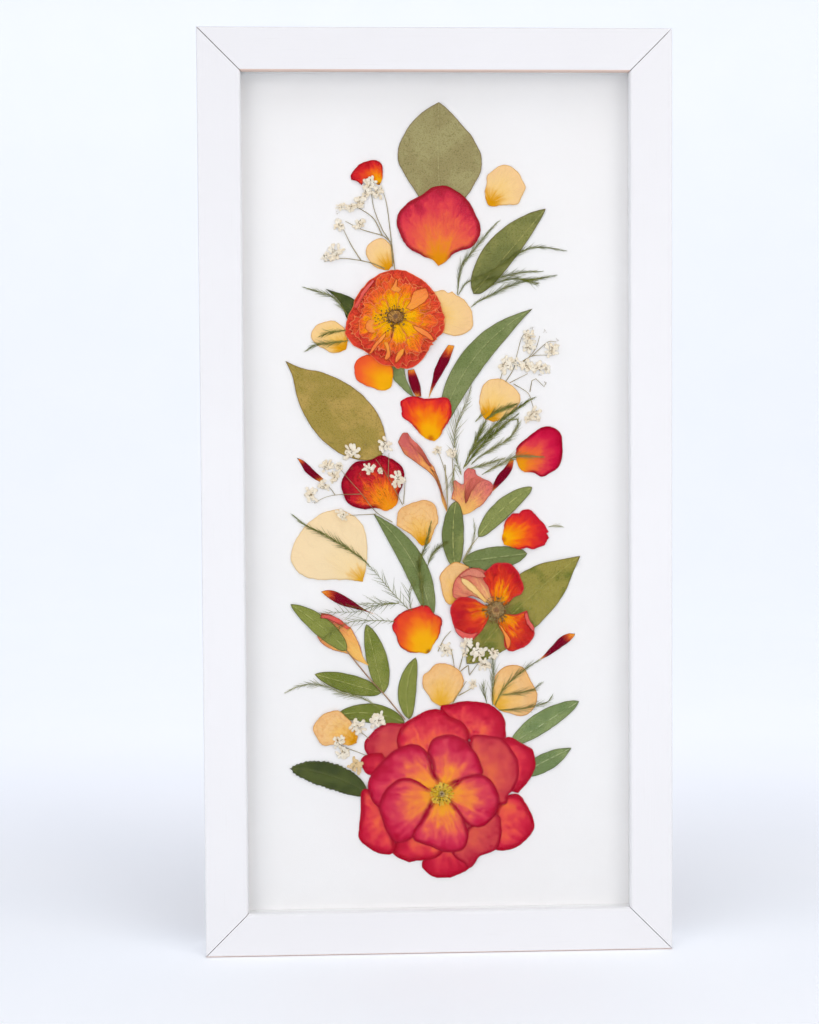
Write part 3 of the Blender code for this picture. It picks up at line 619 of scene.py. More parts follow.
# name, slot, first tone, second tone, roughness
for row in [
    ("fern_needle", DARK, (104, 112, 44), (142, 144, 74)),
    ("pale_fern_needle", OLIVE, (126, 130, 68), (168, 164, 108)),
    ("straw_stem", OCHRE, (160, 146, 96), (186, 172, 120)),
    ("red_twig", DARK, (150, 112, 84), (182, 146, 110)),
    ("floret_petal", CREAM, (252, 244, 228), (242, 226, 198), 0.75),
    ("buff_floret_petal", CREAM, (236, 208, 160), (226, 196, 146), 0.75),
    ("floret_calyx", DARK, (112, 92, 62), (156, 134, 92)),
    ("gypsophila_stem", OLIVE, (140, 126, 84), (172, 156, 114)),
    ("yellow_stamen", "yellow_stamens", (226, 186, 26), (248, 214, 90)),
    ("brown_stamen", "brown_stamens", (112, 76, 40), (156, 116, 66)),
    ("olive_stamen", "brown_stamens", (96, 82, 22), (134, 112, 34)),
]:
    strand_finish(*row)
heart_finish("green_heart", "yellow_stamens", (84, 58, 40), (204, 180, 130), (172, 146, 88),
    (196, 156, 40), 0.9)
heart_finish("brown_heart", "brown_stamens", (140, 100, 68), (216, 172, 110), (172, 124, 72),
    (122, 82, 36), 2.0)
heart_finish("dried_heart", "brown_stamens", (128, 92, 62), (212, 162, 84), (152, 98, 44), (84, 46, 12),
    2.0)

CAD_FINISHES = {
    "rail": "white_lacquered_wood",
    "glazing": "clear_glass",
    "spacer": "white_spacer",
    "mount": "white_mount_board",
    "backing": "brown_hardboard",
    "tab": "zinc_plated_steel",
    "sawtooth": "zinc_plated_steel",
    "hanger": "brass_plated_steel",
}
for node_name, node_object in cad.items():
    finish_name = CAD_FINISHES.get(node_name.split("_")[0])
    if finish_name:
        if not node_object.data.materials:
            node_object.data.materials.append(None)
        for slot_index in range(len(node_object.material_slots)):
            node_object.material_slots[slot_index].material = Finish.made[finish_name].material
cad["glazing_pane"].visible_shadow = False


# ------------------------------------------------------------------ outlines
def headings(steps):
    """The direction of each 2D step, in radians."""
    return np.arctan2(steps[:, 1], steps[:, 0])


def rippled(points, wavelength, seed):
    """Smooth noise from -1 to 1 at 2D points, made of a few crossing waves."""
    chance = np.random.default_rng(seed)
    total = np.zeros(len(points))
    for _ in range(7):
        angle = chance.uniform(0, math.tau)
        length = wavelength * chance.uniform(0.7, 1.6)
        wave = points @ np.array([math.cos(angle), math.sin(angle)]) * math.tau / length
        total += np.sin(wave + chance.uniform(0, math.tau))
    return np.clip(total / 3.6, -1, 1)


def curve_through(points, step, closed, sharp=math.radians(52)):
    """Points every step along a smooth curve through the given ones; sharp corners stay."""
    points = np.asarray(points, float)
    count = len(points)
    before, after = np.roll(points, 1, 0), np.roll(points, -1, 0)
    arriving, leaving = points - before, after - points
    turn = np.abs((headings(leaving) - headings(arriving) + math.pi) % math.tau - math.pi)
    tangent = (after - before) / 2
    corner = turn > sharp
    made = []
    for i in range(count if closed else count - 1):
        j = (i + 1) % count
        start, end = points[i], points[j]
        straight = end - start
        length = np.hypot(*straight)
        if length < 1e-6:
            continue
        ends_i = corner[i] or (not closed and i == 0)
        ends_j = corner[j] or (not closed and j == count - 1)
        first = straight if ends_i else tangent[i] * min(1.0, length / max(np.hypot(*tangent[i]), 1e-6))
        last = straight if ends_j else tangent[j] * min(1.0, length / max(np.hypot(*tangent[j]), 1e-6))
        steps = max(1, int(round(length / step)))
        t = (np.arange(steps) / steps)[:, None]
        made.append(
            (2 * t**3 - 3 * t**2 + 1) * start
            + (t**3 - 2 * t**2 + t) * first
            + (3 * t**2 - 2 * t**3) * end
            + (t**3 - t**2) * last
        )
    if not closed:
        made.append(points[-1:])
    return np.concatenate(made)


def spaced(loop, step):
    """A closed loop resampled at even spacing, keeping its sharpest corners."""
    ahead = np.roll(loop, -1, 0) - loop
    lengths = np.hypot(*ahead.T)
    total = lengths.sum()
    places = np.concatenate([[0], np.cumsum(lengths)])
    count = max(8, int(round(total / step)))
    wanted = np.arange(count) * total / count
    closed = np.vstack([loop, loop[:1]])
    made = np.stack([np.interp(wanted, places, closed[:, k]) for k in (0, 1)], 1)
    behind = np.roll(ahead, 1, 0)
    turn = np.abs((headings(ahead) - headings(behind) + math.pi) % math.tau - math.pi)
    for i in np.nonzero(turn > math.radians(40))[0]:
        nearest = np.argmin(np.hypot(*(made - loop[i]).T))
        made[nearest] = loop[i]
    return made


def cad_outline(name):
    """The front outline of a pressed CAD piece, in board millimetres, anticlockwise."""
    mesh = cad[name].data
    points = np.empty(len(mesh.vertices) * 3)
    mesh.vertices.foreach_get("co", points)
    points = points.reshape(-1, 3)
    keys = [tuple(np.round(p / MM, 3)) for p in points]
    directed = set()
    for face in mesh.polygons:
        if face.normal.y < -0.5:
            corners = list(face.vertices)
            for a, b in zip(corners, corners[1:] + corners[:1]):
                directed.add((keys[a], keys[b]))
    follow = {a: b for a, b in directed if (b, a) not in directed}
    start = current = min(follow)
    loop = []
    while True:
        loop.append((current[0], current[2]))
        current = follow[current]
        if current == start or len(loop) > len(follow):
            break
    return anticlockwise(np.array(loop))


def anticlockwise(loop):
    ahead = np.roll(loop, -1, 0)
    area = np.sum(loop[:, 0] * ahead[:, 1] - ahead[:, 0] * loop[:, 1])
    return loop if area > 0 else loop[::-1]


def serrated(loop, pitch, depth, base):
    """Small forward teeth cut along a leaf's edge, fading out near its base."""
    ahead = np.roll(loop, -1, 0) - np.roll(loop, 1, 0)
    outward = np.stack([ahead[:, 1], -ahead[:, 0]], 1) / np.maximum(np.hypot(*ahead.T), 1e-6)[:, None]
    lengths = np.hypot(*(np.roll(loop, -1, 0) - loop).T)
    run = np.concatenate([[0], np.cumsum(lengths)[:-1]])
    tooth = (run / pitch) % 1.0
    away = np.clip(np.hypot(*(loop - base).T) / 12 - 0.4, 0, 1)
    return loop - outward * (depth * tooth * away)[:, None]


def inside(points, loop):
    """Which points lie inside a closed loop."""
    hit = np.zeros(len(points), bool)
    x, z = points.T
    for (x0, z0), (x1, z1) in zip(loop, np.roll(loop, -1, 0)):
        if z0 != z1:
            crosses = (z0 > z) != (z1 > z)
            hit ^= crosses & (x < (x1 - x0) * (z - z0) / (z1 - z0) + x0)
    return hit


def edge_distance(points, loop):
    """Distance from each point to the nearest stretch of the loop."""
    nearest = np.full(len(points), 1e9)
    for start, end in zip(loop, np.roll(loop, -1, 0)):
        run = end - start
        t = np.clip((points - start) @ run / max(run @ run, 1e-9), 0, 1)
        gap = points - start - t[:, None] * run
        nearest = np.minimum(nearest, np.einsum("ij,ij->i", gap, gap))
    return np.sqrt(nearest)


# ------------------------------------------------------------------ the pile of layers
CELL = 0.5
WINDOW_MARGIN = 1.5
NEIGHBOURS = [(i, j) for i in range(3) for j in range(3)]
PILE_X, PILE_Z = np.arange(-92, 92.1, CELL), np.arange(28, 426.1, CELL)
pile = np.zeros((len(PILE_Z), len(PILE_X)))


def pile_at(points, heights=None, low=(PILE_X[0], PILE_Z[0])):
    """Heights of the pile under 2D points, between cells."""
    heights = pile if heights is None else heights
    column = np.clip((points[:, 0] - low[0]) / CELL, 0, heights.shape[1] - 1.001)
    row = np.clip((points[:, 1] - low[1]) / CELL, 0, heights.shape[0] - 1.001)
    i, j = row.astype(int), column.astype(int)
    u, v = row - i, column - j
    return (
        heights[i, j] * (1 - u) * (1 - v)
        + heights[i + 1, j] * u * (1 - v)
        + heights[i, j + 1] * (1 - u) * v
        + heights[i + 1, j + 1] * u * v
    )


def aside(grid, i, j, shape):
    """A padded grid seen from i - 1 rows and j - 1 columns further on."""
    return grid[i:i + shape[0], j:j + shape[1]]


def draped(heights, slope=SLOPE, rounds=26, smooth=3):
    """The lowest surface over the heights that nowhere falls faster than the slope, smoothed."""
    top = heights.copy()
    for _ in range(rounds):
        grown = np.pad(top, 1, mode="edge")
        for i, j in ((0, 1), (2, 1), (1, 0), (1, 2)):
            top = np.maximum(top, aside(grown, i, j, top.shape) - slope * CELL)
        for i, j in ((0, 0), (2, 2), (2, 0), (0, 2)):
            top = np.maximum(top, aside(grown, i, j, top.shape) - slope * CELL * DIAGONAL)
    soft = top
    for _ in range(smooth):
        grown = np.pad(soft, 1, mode="edge")
        soft = sum(aside(grown, i, j, soft.shape) for i, j in NEIGHBOURS) / len(NEIGHBOURS)
    return soft + max(0.0, float(np.quantile(heights - soft, 0.999)))


def span(low, high, axis):
    """The pile's cells along one axis from low to high, with a margin."""
    first = int((low - WINDOW_MARGIN - axis[0]) / CELL)
    last = int((high + WINDOW_MARGIN - axis[0]) / CELL) + 2
    return slice(max(0, first), min(len(axis), last))


def nearest_cell(places, start, count):
    return np.clip(np.round((places - start) / CELL).astype(int), 0, count - 1)


# ------------------------------------------------------------------ sheets
def mesh_piece(name, points, faces, finish, replaces=(), smooth=True, attributes=None):
    """A finished piece of the object: mesh in metres, riding on the frame."""
    mesh = bpy.data.meshes.new(name)
    mesh.from_pydata([tuple(p) for p in points], [], faces)
    for key, values in (attributes or {}).items():
        layer = mesh.attributes.new(key, "FLOAT", "POINT")
        layer.data.foreach_set("value", np.asarray(values, np.float32))
    mesh.polygons.foreach_set("use_smooth", [smooth] * len(mesh.polygons))
    mesh.update()
    piece = bpy.data.objects.new(name, mesh)
    bpy.context.scene.collection.objects.link(piece)
    return enlist(piece, finish, replaces)


def enlist(piece, finish, replaces=()):
    made = Finish.made[finish]
    if not piece.data.materials:
        piece.data.materials.append(made.material)
    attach(piece, BODY)
    if replaces:
        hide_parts(*replaces)
    return piece


def sheet_mesh(loop, pitch):
    """Flat triangles that fill an outline: points, faces, and the loop as indices."""
    low, high = loop.min(0), loop.max(0)
    columns = np.arange(low[0], high[0], pitch)
    rows = np.arange(low[1], high[1], pitch * 0.866)
    grid = np.array([(x + (k % 2) * pitch / 2, z) for k, z in enumerate(rows) for x in columns])
    grid = grid[inside(grid, loop)]
    if len(grid):
        grid = grid[edge_distance(grid, loop) > pitch * 0.55]
    every = [Vector(p) for p in np.vstack([loop, grid.reshape(-1, 2)])]
    count = len(loop)
    ring = [(i, (i + 1) % count) for i in range(count)]
    points, _, faces, _, _, _ = delaunay_2d_cdt(every, ring, [], 1, 1e-5)
    points = np.array([tuple(p) for p in points])
    kept = []
    for face in faces:
        a, b, c = (points[k] for k in face)
        area = (b[0] - a[0]) * (c[1] - a[1]) - (b[1] - a[1]) * (c[0] - a[0])
        if abs(area) > 1e-7:
            kept.append(tuple(face) if area > 0 else tuple(face[::-1]))
    middles = np.array([points[list(face)].mean(0) for face in kept])
    within = inside(middles, loop)
    return points, [face for face, ok in zip(kept, within) if ok]


def open_edges(faces):
    directed = {(f[i], f[(i + 1) % 3]) for f in faces for i in range(3)}
    return [(a, b) for a, b in directed if (b, a) not in directed]


class Sheet:
    """One pressed petal or leaf before it is laid on the pile."""

    def __init__(self, outline, base, wave=0.18, wave_length=7.0, seed=0, pitch=0.8, teeth=None, flank=0.5):
        loop = anticlockwise(spaced(curve_through(outline, 0.3, True), min(pitch, 0.7)))
        middle = loop.mean(0)
        outward = loop - middle
        outward /= np.maximum(np.hypot(*outward.T), 1e-6)[:, None]
        ripple = rippled(loop, wave_length, seed) + 0.45 * rippled(loop, wave_length * 0.27, seed + 9)
        loop = loop + outward * (ripple * wave)[:, None]
        if teeth:
            loop = serrated(loop, *teeth, np.asarray(base, float))
        self.loop, self.base, self.seed = loop, np.asarray(base, float), seed
        self.points, self.faces = sheet_mesh(loop, pitch)
        self.edge = edge_distance(self.points, loop)
        offset = self.points - self.base
        self.far = np.hypot(*offset.T)
        self.reach = self.far / np.maximum(self.far + self.rim_distance(flank), 1e-6)
        axis = middle - self.base
        heading = math.atan2(axis[1], axis[0])
        self.fan = (headings(offset) - heading + math.pi) % math.tau - math.pi
        self.width = self.edge.max()

    def rim_distance(self, flank):
        """Distance to the rim, where edges near the base count as further off than they are."""
        from_base = np.hypot(*(self.loop - self.base).T)
        near_base = np.clip(1 - from_base / from_base.max(), 0, 1)
        extra = flank * from_base.max() * near_base**1.4
        gaps = np.hypot(
            self.points[:, None, 0] - self.loop[None, :, 0], self.points[:, None, 1] - self.loop[None, :, 1]
        )
        return np.maximum((gaps + extra).min(1), 0)

    def relief(self, dome=0.25, curl=0.3, crinkle=0.2, crinkle_length=6.0, pleat=0.0, pleats=9, roll=0.0):
        """Own height of the sheet: never below the support it rests on."""
        inner = np.clip(self.edge / max(self.width, 1e-6), 0, 1)
        height = dome * (1 - (1 - inner) ** 2)
        height += curl * np.exp(-self.edge / 1.6) * (0.6 + 0.4 * rippled(self.points, 9.0, self.seed + 1))
        height += crinkle * 0.5 * (1 + rippled(self.points, crinkle_length, self.seed + 2))
        height += crinkle * 0.22 * (1 + rippled(self.points, crinkle_length * 0.35, self.seed + 3))
        if pleat:
            drift = rippled(self.points, 12.0, self.seed + 4)
            wave = 1 - np.abs(np.sin(self.fan * pleats * 0.5 + drift * 1.4))
            height += pleat * wave**2 * np.clip(self.reach * 1.4, 0, 1)
        if roll:
            height += roll * np.sqrt(np.clip(1 - (1 - inner) ** 2, 0, 1))
        return height


def lay(sheet, height, tone=0.0, extra=None, slope=SLOPE):
    """Lays a sheet on the pile, closes its shell and adds its own top to the pile."""
    low, high = sheet.points.min(0), sheet.points.max(0)
    rows, columns = span(low[1], high[1], PILE_Z), span(low[0], high[0], PILE_X)
    x, z = np.meshgrid(PILE_X[columns], PILE_Z[rows])
    cells = np.stack([x.ravel(), z.ravel()], 1)
    covered = inside(cells, sheet.loop).reshape(x.shape)
    under = np.where(covered, pile[rows, columns], 0.0)
    support = draped(under, slope)
    corner = (PILE_X[columns][0], PILE_Z[rows][0])
    bottom = pile_at(sheet.points, support, corner) + height + LIFT
    thin = SHEET * np.clip(0.55 + sheet.edge / 1.2, 0.55, 1.0)
    top = bottom + thin
    front = in_metres(*sheet.points.T, top)
    back = in_metres(*sheet.points.T, bottom)
    count = len(front)
    faces = list(sheet.faces)
    faces += [tuple(count + k for k in reversed(face)) for face in sheet.faces]
    faces += [(a, count + a, count + b, b) for a, b in open_edges(sheet.faces)]
    attributes = {
        "reach": sheet.reach,
        "fan": sheet.fan,
        "edge": sheet.edge,
        "far": sheet.far,
        "tone": np.full(count, tone),
    }
    attributes.update(extra or {})
    attributes = {key: np.concatenate([v, v]) for key, v in attributes.items()}
    top_cells = np.zeros(x.shape)
    nearest_column = nearest_cell(sheet.points[:, 0], corner[0], x.shape[1])
    nearest_row = nearest_cell(sheet.points[:, 1], corner[1], x.shape[0])
    np.maximum.at(top_cells, (nearest_row, nearest_column), top)
    spread = np.pad(top_cells, 1)
    widest = np.max([aside(spread, i, j, x.shape) for i, j in NEIGHBOURS], axis=0)
    fill = np.where(covered, np.where(top_cells > 0, top_cells, widest), 0)
    pile[rows, columns] = np.maximum(pile[rows, columns], fill)
    return front, back, faces, attributes


def lay_piece(name, sheet, height, finish, replaces=(), **options):
    front, back, faces, attributes = lay(sheet, height, **options)
    return mesh_piece(name, np.vstack([front, back]), faces, finish, replaces, attributes=attributes)


def seed_of(name):
    return sum(ord(letter) * (k + 3) for k, letter in enumerate(name)) % 99991


def drawn_in(loop, centre, pull):
    """An outline whose inner end is stretched to meet the others under the flower's heart."""
    offset = loop - np.asarray(centre, float)
    far = np.hypot(*offset.T)
    t = np.clip((far - 5) / 6, 0, 1)
    nearer = np.maximum(far - pull * (1 - t * t * (3 - 2 * t)), 0.6)
    return centre + offset * (nearer / np.maximum(far, 1e-6))[:, None]


def petal(name, finish, base, outline=None, tone=0.0, pitch=0.8, pull=0.0, straight=False, ragged=0.24,
    **relief):
    """A petal from its own outline, or standing for the CAD piece of the same name.

    A straight petal takes its colours by distance from its base alone.
    """
    own = outline is None
    outline = cad_outline(name) if own else outline
    if pull:
        outline = drawn_in(np.asarray(outline, float), base, pull)
    sheet = Sheet(outline, base, seed=seed_of(name), pitch=pitch, wave=ragged)
    if straight:
        sheet.reach = sheet.far / sheet.far.max()
    return lay_piece(name, sheet, sheet.relief(**relief), finish, [name] if own else [], tone=tone)


def leaf(name, finish, base, tip, bend=0.0, outline=None, tone=0.0, teeth=None, pitch=0.8, waviness=0.35):
    """A leaf with a raised midrib and gently waved blades."""
    own = outline is None
    sheet = Sheet(cad_outline(name) if own else outline, base, seed=seed_of(name), pitch=pitch,
        teeth=teeth, wave=0.12)
    start, end = np.array(base, float), np.array(tip, float)
    length = np.hypot(*(end - start))
    ahead = (end - start) / length
    left = np.array([-ahead[1], ahead[0]])
    run = (sheet.points - start) @ ahead
    share = np.clip(run / length, 0, 1)
    offset = (sheet.points - start) @ left - bend * 4 * share * (1 - share)
    blade = np.abs(offset)
    height = waviness * 0.5 * (1 + rippled(sheet.points, 16.0, sheet.seed + 5)) * np.clip(blade / 4, 0, 1)
    height += 0.22 * np.exp(-((offset / 0.5) ** 2)) + 0.12 * (
        1 + rippled(sheet.points, 5.0, sheet.seed + 6))
    height += 0.2 * np.exp(-sheet.edge / 1.2) * (1 + rippled(sheet.points, 10.0, sheet.seed + 7))
    return lay_piece(
        name, sheet, height, finish, [name] if own else [], tone=tone,
        extra={"along": run, "offset": offset}
    )


# ------------------------------------------------------------------ single leaves and petals, lowest first
leaf("leaf_eucalyptus", "eucalyptus_leaf", (3, 362.5), (1.9, 416.6), 1.0)
leaf("leaf_top_right", "ochre_top_leaf", (18.3, 323.5), (54, 365))
leaf("leaf_long_upper", "grey_green_leaf", (2, 258), (47.5, 316.3), 7.9)
leaf("leaf_ochre", "ochre_leaf", (-27.3, 244.5), (-73.8, 291.2))
leaf("leaf_middle_right", "olive_leaf", (20.2, 204.3), (47, 228.8), 2.0, tone=0.3)
leaf("leaf_dark_middle", "grey_green_leaf", (12.3, 192.3), (44.4, 196), tone=-0.4)
leaf("leaf_long_left", "grey_green_leaf", (-3, 164), (-31.5, 216.3), -5.4, tone=-0.3)
leaf("leaf_broad_right", "broad_leaf", (14, 141.5), (70.7, 194.6), 2.3)
leaf("sprig_leaf_left", "sprig_leaf", (-28, 127.9), (-60.8, 137.4), tone=-0.2)
leaf("sprig_leaf_right", "sprig_leaf", (-14.5, 114.5), (-11, 145), 2.5, tone=0.3)
leaf("sprig_leaf_lower", "sprig_leaf", (-16.5, 113), (-50, 117), -2.7, tone=-0.5)
leaf("sprig_leaf_upper", "sprig_leaf", (-27, 127.6), (-35.2, 161.8))
leaf("leaf_serrated", "dark_serrated_leaf", (-35, 78), (-73.5, 91), -2.6, teeth=(2.3, 0.9))
leaf("leaf_lower_right", "sage_leaf", (36, 101.5), (70, 122.5), tone=0.2)
leaf("leaf_lowest_right", "sage_leaf", (39, 86), (66, 99.2), tone=-0.2)
leaf(
    "leaf_sliver_left", "dark_serrated_leaf", (-36, 312), (-54, 326.3),
    outline=[(-54, 326.3), (-49.5, 324.8), (-45, 323.5), (-40, 321), (-36, 316), (-37, 309), (-43, 311),
             (-45, 315), (-47.5, 320.5)],
)
leaf(
    "leaf_narrow_centre", "grey_green_leaf", (-11, 273.3), (-20, 293),
    outline=[(-22, 290), (-21.5, 283), (-18, 279), (-14, 275), (-11, 273.3), (-12.5, 277), (-15, 283),
        (-16, 290)],
)

petal(
    "petal_small_red", "scarlet_petal", (-27.2, 376.4),
    [(-30, 388.6), (-27, 387.5), (-25.5, 385.5), (-25.7, 380.5), (-27, 376.5), (-28.5, 377), (-31, 379.5),
     (-34, 379.2), (-36, 376.5), (-38, 378.2), (-41, 379.2), (-41.2, 381.5), (-39.5, 384), (-37, 386.5),
     (-33.5, 388)],
    tone=0.6, pitch=0.6, crinkle=0.5, crinkle_length=3.5, pleat=0.3,
)
petal(
    "petal_cream_top_right", "cream_petal", (26.3, 367.8),
    [(33.5, 386.5), (37, 385.5), (40, 383.5), (42.5, 379.5), (44.2, 375.3), (43.5, 373), (42, 370),
        (40, 367.2),
     (36, 366.8), (28, 366.2), (26.2, 366.8), (24.6, 369.5), (24.2, 373.5), (25, 377), (25.5, 381),
     (28, 383.5),
     (31, 385.5)],
    tone=0.4, pleat=0.25, pleats=6,
)
petal(
    "petal_small_yellow", "cream_petal", (-23, 336),
    [(-27.5, 350.6), (-24, 349.4), (-21.4, 346), (-20.5, 342), (-20.8, 338), (-23, 335.2), (-27, 335.8),
        (-31, 338),
     (-33.4, 341.5), (-33.9, 345), (-31.8, 348.8)],
)
petal(
    "petal_apricot_upper", "cream_petal", (-4, 312),
    [(-2, 324.8), (0, 324.8), (3.5, 325.5), (6, 324.2), (8, 325), (10.5, 322.8), (14, 320.5), (17, 316.5),
        (18, 312),
     (17.9, 308), (16, 305.2), (12, 303.4), (9, 303.1), (5.5, 304), (3, 305), (-2, 305), (-5, 310),
     (-5, 318)],
    tone=0.3,
)
petal(
    "petal_cream_left", "cream_petal", (-44.5, 297),
    [(-52, 310.8), (-48, 309.5), (-44.5, 306), (-43.5, 301), (-44, 296.5), (-48, 295.2), (-51, 295),
        (-55, 297),
     (-59, 299.5), (-61, 302), (-60.5, 306), (-57, 309.3)],
    tone=-1.2,
)
petal(
    "petal_amber_upper", "amber_petal", (-23, 278),
    [(-34, 294), (-26, 293), (-21.5, 287.8), (-21.7, 280), (-22.5, 278), (-25, 276.6), (-28, 276.8),
        (-32, 278),
     (-36, 279.5), (-39, 282), (-40.2, 284.5), (-40, 289), (-38, 292)],
)
petal(
    "petal_flame_upper", "flame_petal", (-3, 253),
    [(-17.5, 270.5), (-15.5, 272.6), (-13.5, 273.6), (-9, 273.5), (-4, 272.5), (2, 273), (5.5, 272.6),
        (7.5, 269.5),
     (7.5, 266), (6.5, 262.5), (4, 258.5), (2, 254.5), (0, 252.5), (-3, 252), (-6, 253), (-9.5, 256.5),
     (-13, 260.5), (-17, 264), (-17.3, 267)],
    dome=0.4, ragged=0.42,
)
petal(
    "petal_cream_middle", "cream_petal", (25.5, 263),
    [(29, 282.2), (33, 281.5), (36, 279.5), (39, 277), (41, 273.5), (41.3, 270.5), (40, 268.5), (36, 265),
        (32, 262),
     (28, 261.2), (25.5, 261.8), (24, 262), (22, 264.5), (21.2, 268.5), (21.3, 273), (22.5, 278.5),
     (25, 281)],
    tone=-0.3,
)
petal("petal_crimson_right", "magenta_petal", (40.5, 239.5), dome=0.5, crinkle=0.3)
petal(
    "petal_pink_crumpled", "dusky_pink_petal", (13, 217),
    [(17, 238.3), (19, 237.5), (19.5, 235), (23, 233), (26, 231.5), (28, 229.5), (27, 226.5), (24, 222),
        (20, 218.5),
     (15, 216), (12.5, 215.3), (11, 218.5), (8.5, 222.5), (7, 223), (8, 228), (8, 231.5), (9, 232.5),
     (12, 230.3),
     (13, 231), (13.5, 236), (15, 238)],
    pitch=0.6, crinkle=0.6, crinkle_length=5.0, pleat=0.4, pleats=5, straight=True,
)
leaf("leaf_upright", "olive_leaf", (8.8, 189.5), (9.3, 222.3), 1.3, tone=-0.3)
petal(
    "petal_orange_right", "flame_petal", (32.5, 203),
    [(41, 217.3), (43, 217.8), (46, 217.3), (50, 213.5), (52, 211), (54.8, 206.5), (54, 205.8), (55, 203.7),
     (52.5, 200), (49, 198.5), (46, 198), (43, 198.6), (38, 198.5), (34.5, 199.8), (33, 200.5), (32.3, 204),
     (33, 209), (34.2, 213), (36, 215), (40.5, 216)],
    tone=0.9, crinkle=0.45, pleat=0.35, pleats=6, ragged=0.42,
)
petal(
    "petal_cream_crumpled_centre", "crumpled_cream_petal", (-8, 201),
    [(-7.5, 222.8), (-3.5, 221.8), (-0.5, 219.5), (0.2, 215), (0.4, 211.5), (-1, 208.5), (-2.5, 205),
        (-4, 201.5),
     (-7.5, 200.3), (-9, 201.5), (-11, 204), (-14, 206.5), (-18, 209), (-20, 210.5), (-19.5, 215.5),
     (-17.5, 219),
     (-13, 221)],
    pitch=0.6, crinkle=0.6, crinkle_length=4.0, curl=0.6,
)
petal("petal_veined_left", "veined_petal", (-23, 219), pitch=0.7, crinkle=0.5, crinkle_length=5.0,
    pleat=0.45, pleats=8)
petal("petal_pale_large", "pale_petal", (-36.8, 183), dome=0.2, pleat=0.15, pleats=12)
petal("petal_top", "top_petal", (1.3, 337.5), dome=0.35, curl=0.4)
petal(
    "petal_cream_behind_rose", "scalloped_petal", (12, 170),
    [(8.5, 192), (12, 191.5), (15.5, 189.5), (16, 183), (14, 176), (12, 171), (8, 171), (5, 171.5),
        (3, 175),
     (1.5, 181), (1.2, 185), (3.5, 189)],
    tone=-0.5,
)
petal(
    "petal_peach_rolled_left", "rolled_petal", (-34, 141.5),
    [(-57, 167.5), (-52, 166.5), (-47, 163.5), (-43, 160), (-40, 155), (-38, 149.5), (-36.5, 145),
        (-34, 141.5),
     (-40, 144), (-45, 147.5), (-52, 149.5), (-57, 152.5), (-59, 155.5), (-59.5, 161)],
    pitch=0.6, crinkle=0.4, pleat=0.5, pleats=6, tone=-1.0, straight=True,
)
leaf("leaf_far_left", "sprig_leaf", (-44.8, 149), (-72.3, 172), -1.2, tone=0.5)
petal("petal_flame_middle", "scarlet_petal", (-4.6, 148), dome=0.4, tone=-0.9, crinkle=0.3, ragged=0.36)
petal(
    "petal_cream_scalloped", "scalloped_petal", (1, 122),
    [(0.5, 142), (4, 141.8), (8, 140.5), (11, 138), (12.5, 135), (12.8, 132), (11, 128), (8, 124),
        (5.5, 121.8),
     (2.5, 120.9), (0, 121.5), (-3, 123), (-4.5, 126), (-7, 129.5), (-7.8, 132.5), (-7, 136.5),
     (-4.5, 138.5),
     (-2, 141)],
    pitch=0.6, crinkle=0.5, crinkle_length=4.5, curl=0.5,
)
petal(
    "petal_apricot_lower", "scalloped_petal", (27.5, 120.5),
    [(36, 141), (39, 140.8), (43, 138.5), (45, 135), (47, 131), (49, 126), (48.8, 122), (46.5, 118),
        (43.5, 115.8),
     (40, 115.6), (35, 116.8), (30, 119), (27, 121.5), (26.5, 126), (27.5, 131), (28.5, 135.5),
     (31, 138.5)],
    pitch=0.7, crinkle=0.3, pleat=0.3, pleats=8, tone=0.4,
)
petal(
    "petal_cream_crumpled_low", "crumpled_cream_petal", (-40.5, 104),
    [(-58, 116.8), (-54, 118.5), (-50, 119.5), (-45, 116), (-42, 112), (-40, 107), (-40.5, 103), (-44, 102),
     (-47, 102.5), (-52, 102.5), (-56, 102.2), (-59, 104), (-61, 108), (-61.3, 112)],
    pitch=0.6, crinkle=0.7, crinkle_length=4.5, curl=0.5, pleat=0.4, pleats=6,
)
petal(
    "petal_rolled_long", "rolled_petal", (5, 217.5),
    [(-16.5, 255.7), (-14.3, 255.8), (-12, 252.5), (-9, 250), (-6, 245.5), (-3.5, 241.5), (-1, 237.5),
        (1, 231),
     (3, 225.5), (5, 219), (4.5, 217), (2.5, 222), (1.5, 227), (-1, 233), (-4, 236.5), (-8, 239.5),
     (-12, 242.5),
     (-16, 245.5), (-18, 249), (-19, 251.5), (-17.5, 254.5)],
    pitch=0.6, roll=0.8, crinkle=0.3, pleat=0.3, pleats=4, straight=True,
)

